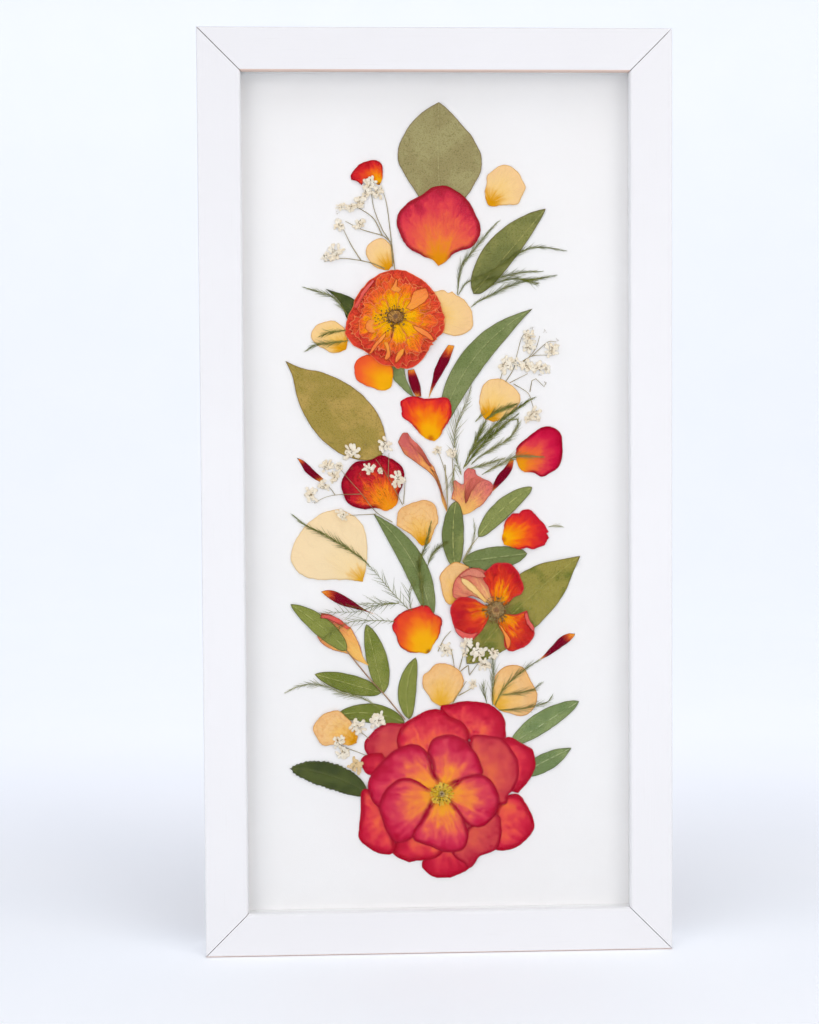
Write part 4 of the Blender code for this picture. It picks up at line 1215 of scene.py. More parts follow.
# Slim petals rolled into darts.
DARTS = {
    "dart_upper_left": (
        (-10, 272.5), [(-14, 286.5), (-14, 284.5), (-13.5, 281), (-12, 276.5), (-10, 273.5),
            (-7.5, 273.5), (-8, 279),
                       (-9.5, 283.5), (-11, 287)]),
    "dart_upper_right": (
        (-4.2, 272), [(-4, 272), (-3, 277), (-2, 281), (-1, 286), (1, 291), (4, 296), (6, 298.8),
            (8, 298.6), (9, 298.3),
                      (7.5, 294), (6, 290), (3, 285), (0, 280), (-2, 276.5)]),
    "dart_left": (
        (-56, 231), [(-68.5, 243.8), (-65.5, 242.5), (-62, 239.5), (-58.5, 236), (-55.7, 233.5),
            (-57.5, 232), (-61, 234),
                     (-64.5, 237), (-66.5, 240.5)]),
    "dart_under_fern": (
        (27, 225), [(38, 242), (37, 237.5), (34, 233), (30.5, 229.5), (27.5, 226.7), (27.8, 230),
            (30, 234.5),
                    (33.5, 238.5), (36.5, 243)]),
    "dart_left_middle": (
        (-29, 166), [(-57.3, 178), (-54, 178.8), (-50.5, 178.3), (-46, 176), (-42, 173.5), (-38, 170.5),
            (-34, 168),
                     (-30.7, 166.5), (-36, 168.3), (-40, 169.3), (-45, 170.5), (-50, 172.5),
                     (-54.5, 175.5)]),
    "dart_right": (
        (49, 142), [(68, 156), (65, 156.2), (61, 154.5), (57, 150.5), (53, 146), (50, 143), (54.5, 145),
            (60, 148.5),
                    (65, 152), (67.8, 155)]),
}
for dart_name, (dart_base, dart_outline) in DARTS.items():
    sheet = Sheet(dart_outline, dart_base, wave=0.1, seed=seed_of(dart_name), pitch=0.5)
    sheet.reach = sheet.far / sheet.far.max()
    lay_piece(dart_name, sheet, sheet.relief(roll=1.0, dome=0.0, curl=0.0, crinkle=0.12), "dart_petal")


# ------------------------------------------------------------------ the dried rose head
def fan_petal(centre, heading, start, length, spread, chance):
    """A ruffled petal outline that widens away from the flower's centre."""
    centre = np.asarray(centre, float)
    side = np.linspace(-1, 1, 13)
    along = start + (length - start) * (1 - 0.2 * side**2 + 0.09 * chance.uniform(-1, 1, 13))
    turn = heading + side * spread * (1 + 0.08 * chance.uniform(-1, 1, 13))
    waist = start + (length - start) * 0.45
    foot = [(waist, 0.86), (start, 0.75), (start, 0.0), (start, -0.75), (waist, -0.86)]
    reach = np.concatenate([along, [r for r, _ in foot]])
    angle = np.concatenate([turn, [heading + k * spread for _, k in foot]])
    return centre + np.stack([reach * np.cos(angle), reach * np.sin(angle)], 1)


HEAD_CENTRE = np.array([-20.0, 312.0])
head_loop = cad_outline("rose_dried_head")
head_reach = np.hypot(*(head_loop - HEAD_CENTRE).T)
head_angle = np.arctan2(*(head_loop - HEAD_CENTRE).T[::-1])
head_order = np.argsort(head_angle)
head_chance = np.random.default_rng(41)


def head_radius(angle):
    """How far the head spreads at an angle."""
    return np.interp(angle, head_angle[head_order], head_reach[head_order], period=math.tau)


petal("rose_dried_head", "dried_head_petal", HEAD_CENTRE, tone=0.9, crinkle=0.4, crinkle_length=4.0,
    dome=0.0)
HEAD_RINGS = [
    # petals, share of the head's radius, half-spread, inner radius, tone
    (12, 0.98, 0.36, 5.0, 0.1),
    (10, 0.84, 0.38, 4.0, -1.2),
    (8, 0.6, 0.44, 3.2, -2.6),
]
for ring_number, (petals, share, spread, start, tone) in enumerate(HEAD_RINGS, 1):
    for k in head_chance.permutation(petals):
        heading = math.tau * (k + 0.35 * ring_number) / petals + head_chance.uniform(-0.16, 0.16)
        length = float(head_radius(heading)) * share * head_chance.uniform(0.84, 1.0)
        outline = fan_petal(HEAD_CENTRE, heading, start, length, spread * head_chance.uniform(0.75, 1.2),
            head_chance)
        sheet = Sheet(outline, HEAD_CENTRE, wave=0.42, wave_length=3.0,
            seed=700 + 20 * ring_number + int(k), pitch=0.65)
        lay_piece(
            f"dried_rose_petal_{ring_number}_{k + 1:02d}",
            sheet,
            sheet.relief(dome=0.1, curl=0.5, crinkle=0.35, crinkle_length=3.2, pleat=0.5, pleats=9),
            "dried_head_petal",
            tone=tone + head_chance.uniform(-0.5, 0.5),
            slope=0.35,
        )


def folds(pieces):
    """Strips of petal folded over, each from its own outline."""
    for fold_name, (finish, base, outline) in pieces.items():
        sheet = Sheet(outline, base, wave=0.18, wave_length=2.6, seed=seed_of(fold_name), pitch=0.5)
        height = sheet.relief(roll=0.45, dome=0.0, curl=0.15, crinkle=0.15, crinkle_length=3.0)
        lay_piece(fold_name, sheet, height, finish, slope=0.35)


folds({
    "dried_rose_fold_upper_right": ("peach_fold", (-20, 312), [
        (-15, 316.5), (-12.5, 320.5), (-11, 324.5), (-7, 326), (-5.2, 326.5), (-3.6, 323.5),
        (-4.6, 320.5), (-8, 317.8),
        (-12, 315.5)]),
    "dried_rose_fold_right": ("peach_fold", (-20, 312), [
        (-12, 308.5), (-7, 306.8), (-3, 304), (-0.8, 301), (-2.5, 300.6), (-6, 303), (-10, 305.5)]),
    "dried_rose_fold_left": ("peach_fold", (-20, 312), [
        (-24.5, 305.5), (-28, 302), (-31, 298.4), (-33.5, 293.8), (-31.5, 294.8), (-28, 299),
        (-25, 302.5)]),
    "dried_rose_fold_loop": ("peach_fold", (-28, 308), [
        (-30, 311), (-33, 310.8), (-34.7, 308.5), (-34.3, 306), (-32, 304.6), (-29.5, 304.8), (-31, 307)]),
    "dried_rose_fold_top": ("peach_fold", (-20, 320), [
        (-22.5, 325.5), (-21, 328), (-19.6, 331), (-18.6, 330.5), (-19, 327.2), (-16.5, 325.5),
        (-19, 324.3)]),
    "dried_rose_fold_bottom_left": ("peach_fold", (-24, 304), [
        (-25.8, 300), (-24, 300.3), (-22.8, 297), (-22.6, 293), (-24.5, 290.8), (-25.6, 292),
        (-24.6, 296)]),
    "dried_rose_fold_bottom_right": ("peach_fold", (-16, 300), [
        (-18, 296), (-15.8, 297), (-16.5, 294), (-18.5, 291), (-20.5, 289.5), (-20, 293)]),
    "dried_rose_fold_left_rim": ("coral_fold", (-34, 316), [
        (-40.5, 317), (-38, 321.5), (-35, 326.5), (-31, 330.4), (-29.8, 330), (-33.5, 325), (-36.5, 320.5),
        (-38.6, 316.6)]),
    "pink_petal_fold": ("shadowed_fold", (13.5, 221), [
        (13.4, 224), (13.8, 228), (15, 231.4), (17.6, 233.6), (20.6, 234), (23.4, 232.4), (20.8, 231.2),
        (18.4, 229),
        (16.6, 226), (15.2, 222.6), (14, 220.6)]),
    "rolled_petal_fold": ("shadowed_fold", (-3, 238), [
        (-14.2, 254.5), (-11, 251.6), (-8, 248.6), (-5, 243.8), (-2.5, 239.2), (-4, 239.5), (-7, 243.5),
        (-10, 247),
        (-13, 250.5)]),
    "rolled_petal_fold_low": ("brown_fold", (5, 218), [
        (-3.5, 238.5), (-0.5, 236), (1.5, 231), (3, 225.5), (5, 219), (4.6, 217), (3.2, 222), (1.6, 228),
        (-0.6, 233.4)]),
    "peach_petal_fold": ("coral_fold", (-45, 158), [
        (-57, 167.3), (-52, 166.4), (-47, 163.4), (-43.2, 160), (-44.5, 159.2), (-49, 162), (-54, 164.6),
        (-58, 165.2)]),
})

# ------------------------------------------------------------------ the open rose
OPEN_HEART = (28.8, 168.4)
for open_name, tone, options in [
    ("open_rose_petal_upper_left", 0.3, {"pleat": 0.7, "pleats": 7}),
    ("open_rose_petal_lower_right", -0.2, {"pleat": 0.5, "pleats": 8}),
    ("open_rose_petal_upper_right", 0.3, {"pleat": 0.5, "pleats": 8}),
    ("open_rose_petal_lower_left", 0.6, {"pleat": 0.5, "pleats": 8}),
]:
    finish = "folded_peach_petal" if open_name.endswith("upper_left") else "open_rose_petal"
    petal(
        open_name, finish, OPEN_HEART, tone=tone, pitch=0.65, crinkle=0.4, crinkle_length=4.5, curl=0.5,
        pull=3.4,
        **options,
    )
folds({
    "open_rose_streak": ("cream_fold", OPEN_HEART, [
        (11.5, 184.6), (14.5, 183.4), (18, 180.6), (22, 176), (25.4, 171.8), (23, 172.2), (19, 175.6),
        (15, 179),
        (12, 182)]),
    "open_rose_fold_upper_left": ("pink_fold", (20, 176), [
        (10, 184.6), (13, 187.2), (17, 189), (21.5, 187.6), (24, 184.6), (20, 184.4), (15.5, 185.4),
        (12, 184.6)]),
    "open_rose_fold_lower_left": ("coral_fold", (20, 164), [
        (8, 160.5), (11, 158.6), (14, 157.2), (17, 156.8), (19.5, 157.8), (19, 156), (17.5, 154.2),
        (14.7, 153.3),
        (11.5, 155), (9, 157.5)]),
    "open_rose_fold_left_edge": ("peach_fold", OPEN_HEART, [
        (29, 162.3), (31, 159), (32.5, 155.5), (33.5, 151), (34.2, 148.6), (35.9, 151), (35.6, 154.2),
        (33.5, 157.5),
        (31, 161)]),
    "open_rose_fold_right_rim": ("coral_fold", (38, 158), [
        (44.3, 167.2), (45.5, 163), (47.6, 159.8), (47.2, 156.8), (46, 158.5), (44.2, 161), (43, 164),
        (42.6, 166.4)]),
})

# ------------------------------------------------------------------ the large rose
ROSE_HEART = (1.5, 77.5)
ROSE_LAYERS = [
    ("rose_petal_under", "rose_dusky_petal",
     [(1.5 + 29 * math.cos(k * math.tau / 12), 78 + 29 * math.sin(k * math.tau / 12)) for k in range(12)],
     1.2),
    ("rose_petal_outer_top_right", "rose_outer_petal", None, 0.3),
    ("rose_petal_outer_right_low", "rose_outer_petal", None, 0.0),
    ("rose_petal_outer_far_right", "rose_outer_petal",
     [(30, 103), (34, 105), (37, 104.5), (41, 102), (46.5, 98.5), (48, 94), (48, 90), (46, 85), (43, 81),
         (39.5, 77),
      (36, 78), (28, 84), (26, 95)], 0.3),
    ("rose_petal_outer_bottom", "rose_outer_petal",
     [(3, 52), (-4, 49), (-8, 44), (-8.5, 41), (-6, 38), (-3, 36), (0, 35.3), (5, 35.2), (8, 36.5),
         (12, 37.8),
      (16, 41), (18, 43.5), (15, 49), (9, 52)], 0.4),
    ("rose_petal_outer_bottom_left", "rose_outer_petal",
     [(-23, 48), (-20, 45.5), (-15, 43.3), (-11, 44), (-8.5, 44), (-3, 45), (1, 47.5), (4, 54), (-6, 60),
         (-20, 58)], 0.2),
    ("rose_petal_outer_left_upper", "rose_dusky_petal",
     [(-36.5, 100), (-36, 104), (-33, 108), (-29, 111.5), (-24, 113), (-19, 112.5), (-15, 112.5),
         (-12, 106),
      (-18, 98), (-28, 93), (-34, 96)], 0.0),
    ("rose_petal_outer_far_left", "rose_outer_petal",
     [(-37, 96.5), (-38.3, 93.5), (-37, 89.5), (-34.5, 87), (-28, 86), (-24, 92), (-28, 98), (-33, 98)],
     0.2),
    ("rose_petal_outer_left", "rose_outer_petal", None, -0.2),
    ("rose_petal_outer_top", "rose_outer_petal", None, 0.2),
    ("rose_petal_outer_right", "rose_dusky_petal", None, -0.4),
    ("rose_petal_outer_bottom_right", "rose_dusky_petal", None, -0.2),
    ("rose_petal_upper_left", "rose_petal", None, 0.1),
    ("rose_petal_left", "rose_petal", None, 0.0),
    ("rose_petal_top", "rose_petal", None, 0.1),
    ("rose_petal_right", "rose_petal", None, -0.1),
    ("rose_petal_bottom", "rose_petal", None, -0.3),
]
for rose_name, finish, outline, tone in ROSE_LAYERS:
    petal(
        rose_name, finish, ROSE_HEART, outline, tone=tone, pitch=0.85, dome=0.4, curl=0.15, crinkle=0.2,
        crinkle_length=9.0, pull=4.2 if finish == "rose_petal" else 0.0,
    )


# ------------------------------------------------------------------ growing things with Geometry Nodes
class Tree(Maker):
    """A Geometry Nodes tree with named inputs. It ends in Realize Instances and Set Material."""

    def __init__(self, name, whole, measures):
        self.group = bpy.data.node_groups.new(name, "GeometryNodeTree")
        super().__init__(self.group)
        face = self.group.interface
        face.new_socket(name="Geometry", in_out="OUTPUT", socket_type="NodeSocketGeometry")
        face.new_socket(name="Geometry", in_out="INPUT", socket_type="NodeSocketGeometry")
        for kind, labels in (("NodeSocketInt", whole), ("NodeSocketFloat", measures)):
            for label in labels:
                face.new_socket(name=label, in_out="INPUT", socket_type=kind)
        face.new_socket(name="Finish", in_out="INPUT", socket_type="NodeSocketMaterial")
        self.entry = self.group.nodes.new("NodeGroupInput")
        self.exit = self.group.nodes.new("NodeGroupOutput")

    def given(self, label):
        return Socket(self, self.entry.outputs[label])

    def chance(self, low, high, key):
        """A random number for each element; key keeps one draw apart from another."""
        return self.node(
            "FunctionNodeRandomValue", {"data_type": "FLOAT"},
            {2: low, 3: high, 8: self.given("Seed") + key}, 1
        )

    def turned(self, rotation, euler):
        spin = self.node("FunctionNodeEulerToRotation", None, {0: euler})
        return self.node("FunctionNodeRotateRotation", {"rotation_space": "LOCAL"}, {0: rotation, 1: spin})

    def close(self, *geometry):
        joined = self.node("GeometryNodeJoinGeometry")
        for part in geometry:
            self.tree.links.new(part.socket, joined.socket.node.inputs[0])
        real = self.node("GeometryNodeRealizeInstances", None, {0: joined})
        done = self.node("GeometryNodeSetMaterial", None, {0: real, 2: self.given("Finish")})
        self.join(done, self.exit.inputs[0])

    def grow(self, name, points, edges, finish, values, attributes=None):
        """Runs the tree on a skeleton and keeps the result as a plain mesh."""
        skeleton = bpy.data.meshes.new(name + "_skeleton")
        skeleton.from_pydata([tuple(p) for p in points], edges, [])
        for key, numbers in (attributes or {}).items():
            skeleton.attributes.new(key, "FLOAT", "POINT").data.foreach_set("value",
                np.asarray(numbers, np.float32))
        piece = bpy.data.objects.new(name, skeleton)
        bpy.context.scene.collection.objects.link(piece)
        modifier = piece.modifiers.new("grow", "NODES")
        modifier.node_group = self.group
        values = {**values, "Finish": Finish.made[finish].material}
        for item in self.group.interface.items_tree:
            if item.in_out == "INPUT" and item.name in values:
                modifier[item.identifier] = values[item.name]
        graph = bpy.context.evaluated_depsgraph_get()
        mesh = bpy.data.meshes.new_from_object(piece.evaluated_get(graph))
        piece.modifiers.remove(modifier)
        piece.data = mesh
        bpy.data.meshes.remove(skeleton)
        mesh.name = name
        return piece


def stem_parts(tree, stems, radius, taper):
    """Round tapering stems along curves."""
    profile = tree.node("GeometryNodeCurvePrimitiveCircle", None, {0: 5, 4: radius})
    share = tree.node("GeometryNodeSplineParameter")
    return tree.node("GeometryNodeCurveToMesh", None, {0: stems, 1: profile, 2: 1 - share * taper, 3: True})


def stem_tree():
    tree = Tree("bare_stems", [], ["Stem Radius", "Taper"])
    stems = tree.node("GeometryNodeMeshToCurve", None, {0: tree.given("Geometry")})
    tree.close(stem_parts(tree, stems, tree.given("Stem Radius"), tree.given("Taper")))
    return tree


def fern_tree():
    """Hair-fine needles along both sides of each stem, slanting towards its tip."""
    needle_inputs = ["Needle Length", "Needle Radius", "Needle Spacing", "Needle Angle"]
    tree = Tree("fern_spray", ["Seed"], [*needle_inputs, "Stem Radius"])
    stems = tree.node("GeometryNodeMeshToCurve", None, {0: tree.given("Geometry")})
    nodes = tree.node("GeometryNodeResampleCurve", {"mode": "LENGTH"},
        {0: stems, 3: tree.given("Needle Spacing")})
    share = tree.node("GeometryNodeSplineParameter")
    side = (tree.node("GeometryNodeInputIndex") % 2) * 2 - 1
    tangent = tree.node("GeometryNodeInputTangent")
    facing = tree.node("FunctionNodeAlignRotationToVector", {"axis": "X", "pivot_axis": "Y"}, {2: tangent})
    yaw = side * tree.given("Needle Angle") * tree.chance(0.45, 1.5, 1)
    lift = tree.chance(-0.02, 0.1, 2)
    facing = tree.turned(facing, tree.vector(0.0, yaw, 0.0))
    facing = tree.turned(facing, tree.vector(side * QUARTER_TURN, 0.0, lift * -1))
    swell = (share * 3.3 + 0.25).least(1.0) * ((1 - share) * 1.6 + 0.25).least(1.0)
    length = tree.given("Needle Length") * swell * tree.chance(0.45, 1.15, 3)
    needle = tree.node("GeometryNodeMeshCone", None, {0: 3, 1: 3, 3: 0.25, 4: 1.0, 5: 1.0})
    needle = tree.node("GeometryNodeTransform", None, {0: needle, 2: (0.0, math.pi / 2, 0.0)})
    x, _, _ = tree.parts(tree.node("GeometryNodeInputPosition"))
    radius = tree.given("Needle Radius")
    bent = tree.node("GeometryNodeSetPosition", None, {0: needle, 3: tree.vector(0.0, x * x * 2.5, 0.0)})
    spread = tree.node(
        "GeometryNodeInstanceOnPoints", None, {0: nodes, 2: bent, 5: facing,
            6: tree.vector(length, radius, radius)}
    )
    tree.close(stem_parts(tree, stems, tree.given("Stem Radius"), 0.6), spread)
    return tree


def whorl_tree():
    """Crinkled blades fanned round every point: florets and the calyx behind them."""
    blade_inputs = ["Blade Length", "Blade Width", "Blade Thickness"]
    tree = Tree("whorl", ["Blades", "Seed"], [*blade_inputs, "Scatter", "Spread", "Lift"])
    centres = tree.node("GeometryNodeMeshToPoints", None, {0: tree.given("Geometry")})
    many = tree.node("GeometryNodeDuplicateElements", {"domain": "POINT"},
        {0: centres, 2: tree.given("Blades")})
    order = Socket(tree, many.socket.node.outputs[1])
    size = tree.node("GeometryNodeInputNamedAttribute", {"data_type": "FLOAT"}, {0: "size"})
    turn = order / tree.given("Blades") * math.tau + tree.chance(-1.0, 1.0, 1) * tree.given("Scatter")
    start = tree.node("FunctionNodeEulerToRotation", None, {0: tree.vector(0.0, turn, 0.0)})
    facing = tree.turned(start, tree.vector(tree.chance(-0.5, 0.5, 2), 0.0,
        tree.given("Lift") * tree.chance(-1.0, 0.1, 3)))
    blade = tree.node("GeometryNodeMeshUVSphere", None, {0: 8, 1: 5, 2: 0.5})
    blade = tree.node("GeometryNodeTransform", None, {0: blade, 1: (0.5, 0.0, 0.0)})
    place = tree.node("GeometryNodeInputPosition")
    x, y, z = tree.parts(place)
    crinkle = tree.noise(place, 2.6, 1) - 0.5
    shaped = tree.vector(x, y + crinkle * 1.6 * x, z * (0.45 + x * 0.75) * (1 + crinkle * 0.6))
    blade = tree.node("GeometryNodeSetPosition", None, {0: blade, 2: shaped})
    scale = tree.vector(
        size * tree.given("Blade Length") * tree.chance(0.65, 1.1, 4),
        size * tree.given("Blade Thickness"),
        size * tree.given("Blade Width") * tree.chance(0.7, 1.15, 5),
    )
    spread = size * tree.given("Spread")
    aside = tree.vector(spread * tree.chance(-1.0, 1.0, 6), 0.0, spread * tree.chance(-1.0, 1.0, 7))
    moved = tree.node("GeometryNodeSetPosition", None, {0: many, 3: aside})
    tree.close(tree.node("GeometryNodeInstanceOnPoints", None, {0: moved, 2: blade, 5: facing, 6: scale}))
    return tree


def stamen_tree():
    """Threads with a bead on the tip, scattered round a flower's heart."""
    tree = Tree("stamens", ["Threads", "Seed"], ["Shortest", "Longest", "Thread Radius", "Bead Radius"])
    centres = tree.node("GeometryNodeMeshToPoints", None, {0: tree.given("Geometry")})
    many = tree.node("GeometryNodeDuplicateElements", {"domain": "POINT"},
        {0: centres, 2: tree.given("Threads")})
    order = Socket(tree, many.socket.node.outputs[1])
    turn = order * GOLDEN_TURN + tree.chance(-0.25, 0.25, 1)
    share = tree.chance(0.0, 1.0, 2)
    length = share * (tree.given("Longest") - tree.given("Shortest")) + tree.given("Shortest")
    tilt = tree.chance(-0.3, -0.02, 3)
    start = tree.node("FunctionNodeEulerToRotation", None, {0: tree.vector(0.0, turn, 0.0)})
    facing = tree.turned(start, tree.vector(0.0, 0.0, tilt))
    thread = tree.node("GeometryNodeMeshCone", None, {0: 3, 1: 2, 3: 0.7, 4: 1.0, 5: 0.5})
    thread = tree.node("GeometryNodeTransform", None, {0: thread, 1: (0.5, 0.0, 0.0),
        2: (0.0, math.pi / 2, 0.0)})
    radius = tree.given("Thread Radius")
    threads = tree.node(
        "GeometryNodeInstanceOnPoints", None, {0: many, 2: thread, 5: facing,
            6: tree.vector(length, radius, radius)}
    )
    bead = tree.node("GeometryNodeMeshIcoSphere", None, {0: 1.0, 1: 1})
    tip = tree.node(
        "ShaderNodeVectorMath",
        {"operation": "SCALE"},
        {0: tree.vector(turn.math("COSINE", turn), tilt, turn.sine() * -1), 3: length},
    )
    moved = tree.node("GeometryNodeSetPosition", None, {0: many, 3: tip})
    ball = tree.given("Bead Radius") * tree.chance(0.7, 1.2, 4)
    beads = tree.node(
        "GeometryNodeInstanceOnPoints", None, {0: moved, 2: bead, 5: facing,
            6: tree.vector(ball * 1.5, ball * 0.8, ball)}
    )
    tree.close(threads, beads)
    return tree


STEMS, FERN, WHORL, STAMENS = stem_tree(), fern_tree(), whorl_tree(), stamen_tree()


def skeleton_of(paths, step=0.9):
    """Points and edges of smooth paths laid flat on the board's face."""
    points, edges = [], []
    for path in paths:
        line = curve_through(path, step, False)
        first = len(points)
        points += [(x * MM, BOARD_FACE, z * MM) for x, z in line]
        edges += [(first + k, first + k + 1) for k in range(len(line) - 1)]
    return points, edges


def settle(piece, finish, rest=0.12, slope=0.45, surface=None):
    """Lets a flat-grown piece down onto the pile, then lists it with the object."""
    mesh = piece.data
    places = np.empty(len(mesh.vertices) * 3)
    mesh.vertices.foreach_get("co", places)
    places = places.reshape(-1, 3)
    flat = places[:, [0, 2]] / MM
    own = (BOARD_FACE - places[:, 1]) / MM
    under = pile_at(flat, draped(pile, slope, 10, 2) if surface is None else surface)
    mesh.vertices.foreach_set("co", in_metres(*flat.T, np.maximum(under + own + rest, 0.0)).ravel())
    mesh.polygons.foreach_set("use_smooth", [True] * len(mesh.polygons))
    mesh.update()
    return enlist(piece, finish)


def fern(name, finish, paths, length, spacing=0.7, angle=0.42, radius=0.11, stem=0.16, seed=1):
    points, edges = skeleton_of(paths)
    values = {
        "Needle Length": length * MM,
        "Needle Radius": radius * MM,
        "Needle Spacing": spacing * MM,
        "Needle Angle": angle,
        "Stem Radius": stem * MM,
        "Seed": seed,
    }
    return settle(FERN.grow(name, points, edges, finish, values), finish, rest=stem)


def stems(name, finish, paths, radius, taper=0.45):
    points, edges = skeleton_of(paths)
    values = {"Stem Radius": radius * MM, "Taper": taper}
    return settle(STEMS.grow(name, points, edges, finish, values), finish, rest=radius)


def florets(name, places, finish="floret_petal", seed=1, buds=()):
    """Gypsophila: pale crinkled petals with a dark calyx of narrow blades over them."""
    points = [(x * MM, BOARD_FACE, z * MM) for x, z, _ in places]
    sizes = [r for _, _, r in places]
    petals = {
        "Blades": 22, "Blade Length": 0.8 * MM, "Blade Width": 0.5 * MM, "Blade Thickness": 0.09 * MM,
        "Scatter": 1.2, "Spread": 0.42 * MM, "Lift": 0.35, "Seed": seed,
    }
    settle(WHORL.grow(name, points, [], finish, petals, {"size": sizes}), finish, rest=0.25)
    calyx = {
        "Blades": 5, "Blade Length": 0.42 * MM, "Blade Width": 0.09 * MM, "Blade Thickness": 0.08 * MM,
        "Scatter": 1.2, "Spread": 0.24 * MM, "Lift": 0.2, "Seed": seed + 3,
    }
    places = list(places) + [(x, z, 2.2) for x, z in buds]
    points = [(x * MM, BOARD_FACE, z * MM) for x, z, _ in places]
    sizes = [r for _, _, r in places]
    settle(WHORL.grow(name + "_calyx", points, [], "floret_calyx", calyx, {"size": sizes}),
        "floret_calyx", rest=0.75)


# ------------------------------------------------------------------ fern
fern("fern_upper_right", "fern_needle", [
    [(10.5, 323), (11.5, 332), (13, 338), (17, 343), (22, 349), (27, 355), (31, 359)],
    [(11, 323), (15, 329), (25, 333), (33, 338), (40, 343), (47, 346), (55, 346), (64, 344.5)],
    [(18, 326), (25, 330), (33, 332), (42, 334), (52, 334.5)],
    [(23, 325), (30, 329), (38, 331), (46, 330.5), (59, 332.5)],
    [(40, 331), (50, 328.5)],
    [(17, 317), (21, 320), (27, 323), (35, 327), (43, 329.5), (52, 331)],
], 5.2, 0.36, 0.42, seed=3, radius=0.12)
fern("fern_left_of_head", "fern_needle", [
    [(-43, 313), (-50, 322), (-58, 325), (-64.5, 327)],
    [(-44, 306), (-52, 305), (-57, 303)],
    [(-43, 301), (-50, 300), (-59, 299), (-64, 296)],
], 4.6, 0.34, 0.44, seed=5, radius=0.12)
fern("fern_centre_long", "pale_fern_needle", [
    [(12, 235), (9, 245), (9, 255), (11, 263), (15, 271), (17, 278)],
    [(9, 240), (7, 228)],
], 8.5, 0.7, 0.5, seed=7, radius=0.14)
fern("fern_centre_dense", "fern_needle", [
    [(13, 238), (17, 246), (24, 254), (31, 261), (38, 266), (45, 271), (48, 272.5)],
    [(17, 246), (20, 253), (24, 261)],
    [(24, 262), (30, 266), (39, 269.5)],
    [(14, 239), (20, 247), (27, 254), (34, 260), (40, 264.5)],
], 6.5, 0.24, 0.34, seed=9, radius=0.14)
fern("fern_centre_loop", "pale_fern_needle", [
    [(17, 240), (20, 243), (28, 248), (36, 253), (40, 259), (40, 262), (35, 262)],
    [(22, 235), (33, 241), (38, 243.5), (45, 244), (52, 243.5)],
    [(16, 238), (24, 240), (33, 243)],
    [(19, 261), (22, 264)],
], 6.0, 0.36, 0.34, seed=11, radius=0.13)
fern("fern_tuft_right", "pale_fern_needle", [[(55, 209), (58, 209.6), (62, 209)]], 3.0, 0.5, seed=13)
fern("fern_tuft_centre", "pale_fern_needle", [[(13, 193), (17, 200), (18.5, 207), (18, 213)]], 4.0, 0.7,
    0.35, seed=15)
fern("fern_left_dense", "fern_needle", [
    [(-71, 216), (-65, 211), (-55, 206), (-47, 201), (-38, 195), (-33, 190)][::-1],
    [(-7, 170), (-8, 182), (-9, 193), (-7, 197), (-5, 203), (-3, 212)],
    [(-5, 190), (-3, 195), (0, 199), (5, 202)],
], 5.4, 0.32, 0.42, seed=17, radius=0.13)
fern("fern_left_sparse", "fern_needle", [
    [(-14, 168.5), (-22, 177), (-27, 183), (-33, 190)],
    [(-13, 168), (-14, 178), (-11, 183)],
    [(-19, 172), (-30, 171), (-40, 168), (-50, 168), (-58, 167.5)],
    [(-19, 172), (-37, 172)],
    [(-21, 163), (-28, 163.5), (-38, 163.5), (-45, 162.5), (-50, 160), (-57, 155)],
], 9.0, 1.3, 0.62, seed=19, radius=0.14)
fern("fern_lower_left", "pale_fern_needle", [
    [(-30, 121), (-38, 125.5), (-48, 128), (-54, 131), (-62, 132.5), (-70, 131), (-75, 128.5)],
], 5.4, 0.5, 0.5, seed=21, radius=0.14)
fern("fern_lower_right", "fern_needle", [
    [(27, 121), (27, 130), (27.5, 140), (26.5, 147)],
    [(24, 122), (22, 131)],
    [(28, 121), (33, 130), (42, 138), (50, 143)],
    [(31, 126), (40, 127), (47, 128.5), (51, 131.5)],
    [(30, 118.5), (40, 119), (48, 120.5), (54, 122), (56.5, 125)],
], 7.0, 0.55, 0.34, seed=23, radius=0.12)

# ------------------------------------------------------------------ stems and twigs
stems("twig_left", "red_twig", [[(-45, 149), (-40, 142.5), (-33, 134), (-27, 127.5), (-21, 120),
    (-16.5, 114.5)]], 0.32, 0.0)
stems("straw_centre", "straw_stem", [
    [(4, 240), (4.6, 228), (5, 218)],
    [(7, 122), (10, 127), (14, 133)],
    [(10, 126), (14, 128), (18, 130.5)],
    [(12.3, 192.3), (16, 199), (20.2, 204.3)],
], 0.28)
stems("gypsophila_stems_upper_left", "gypsophila_stem", [
    [(-20, 335), (-22.5, 357), (-24, 368), (-26.5, 376)],
    [(-21, 337), (-22, 348), (-26, 355), (-30, 365), (-31.5, 375)],
    [(-22, 349), (-26, 352), (-36, 355), (-44, 359)],
    [(-26, 352), (-30, 360), (-35, 364), (-41, 367)],
    [(-25, 336), (-31, 338.5), (-37, 340), (-46, 341), (-54.5, 339.5)],
    [(-36.5, 340), (-41, 347), (-45, 355)],
], 0.26)
stems("gypsophila_stems_upper_right", "gypsophila_stem", [
    [(34, 280.5), (38, 287), (40, 295), (42, 302), (45, 306)],
    [(39, 288), (45, 292), (49, 297), (51, 303)],
    [(39, 288), (47, 293), (57, 293.5)],
    [(47, 293), (55, 300), (59, 300)],
    [(36, 280), (45, 284.5)],
    [(31.5, 282), (33, 287)],
    [(38, 279.5), (45, 275), (47, 270), (48, 266)],
    [(46, 275.5), (47, 281), (49, 282), (53, 278), (54, 280)],
], 0.2)
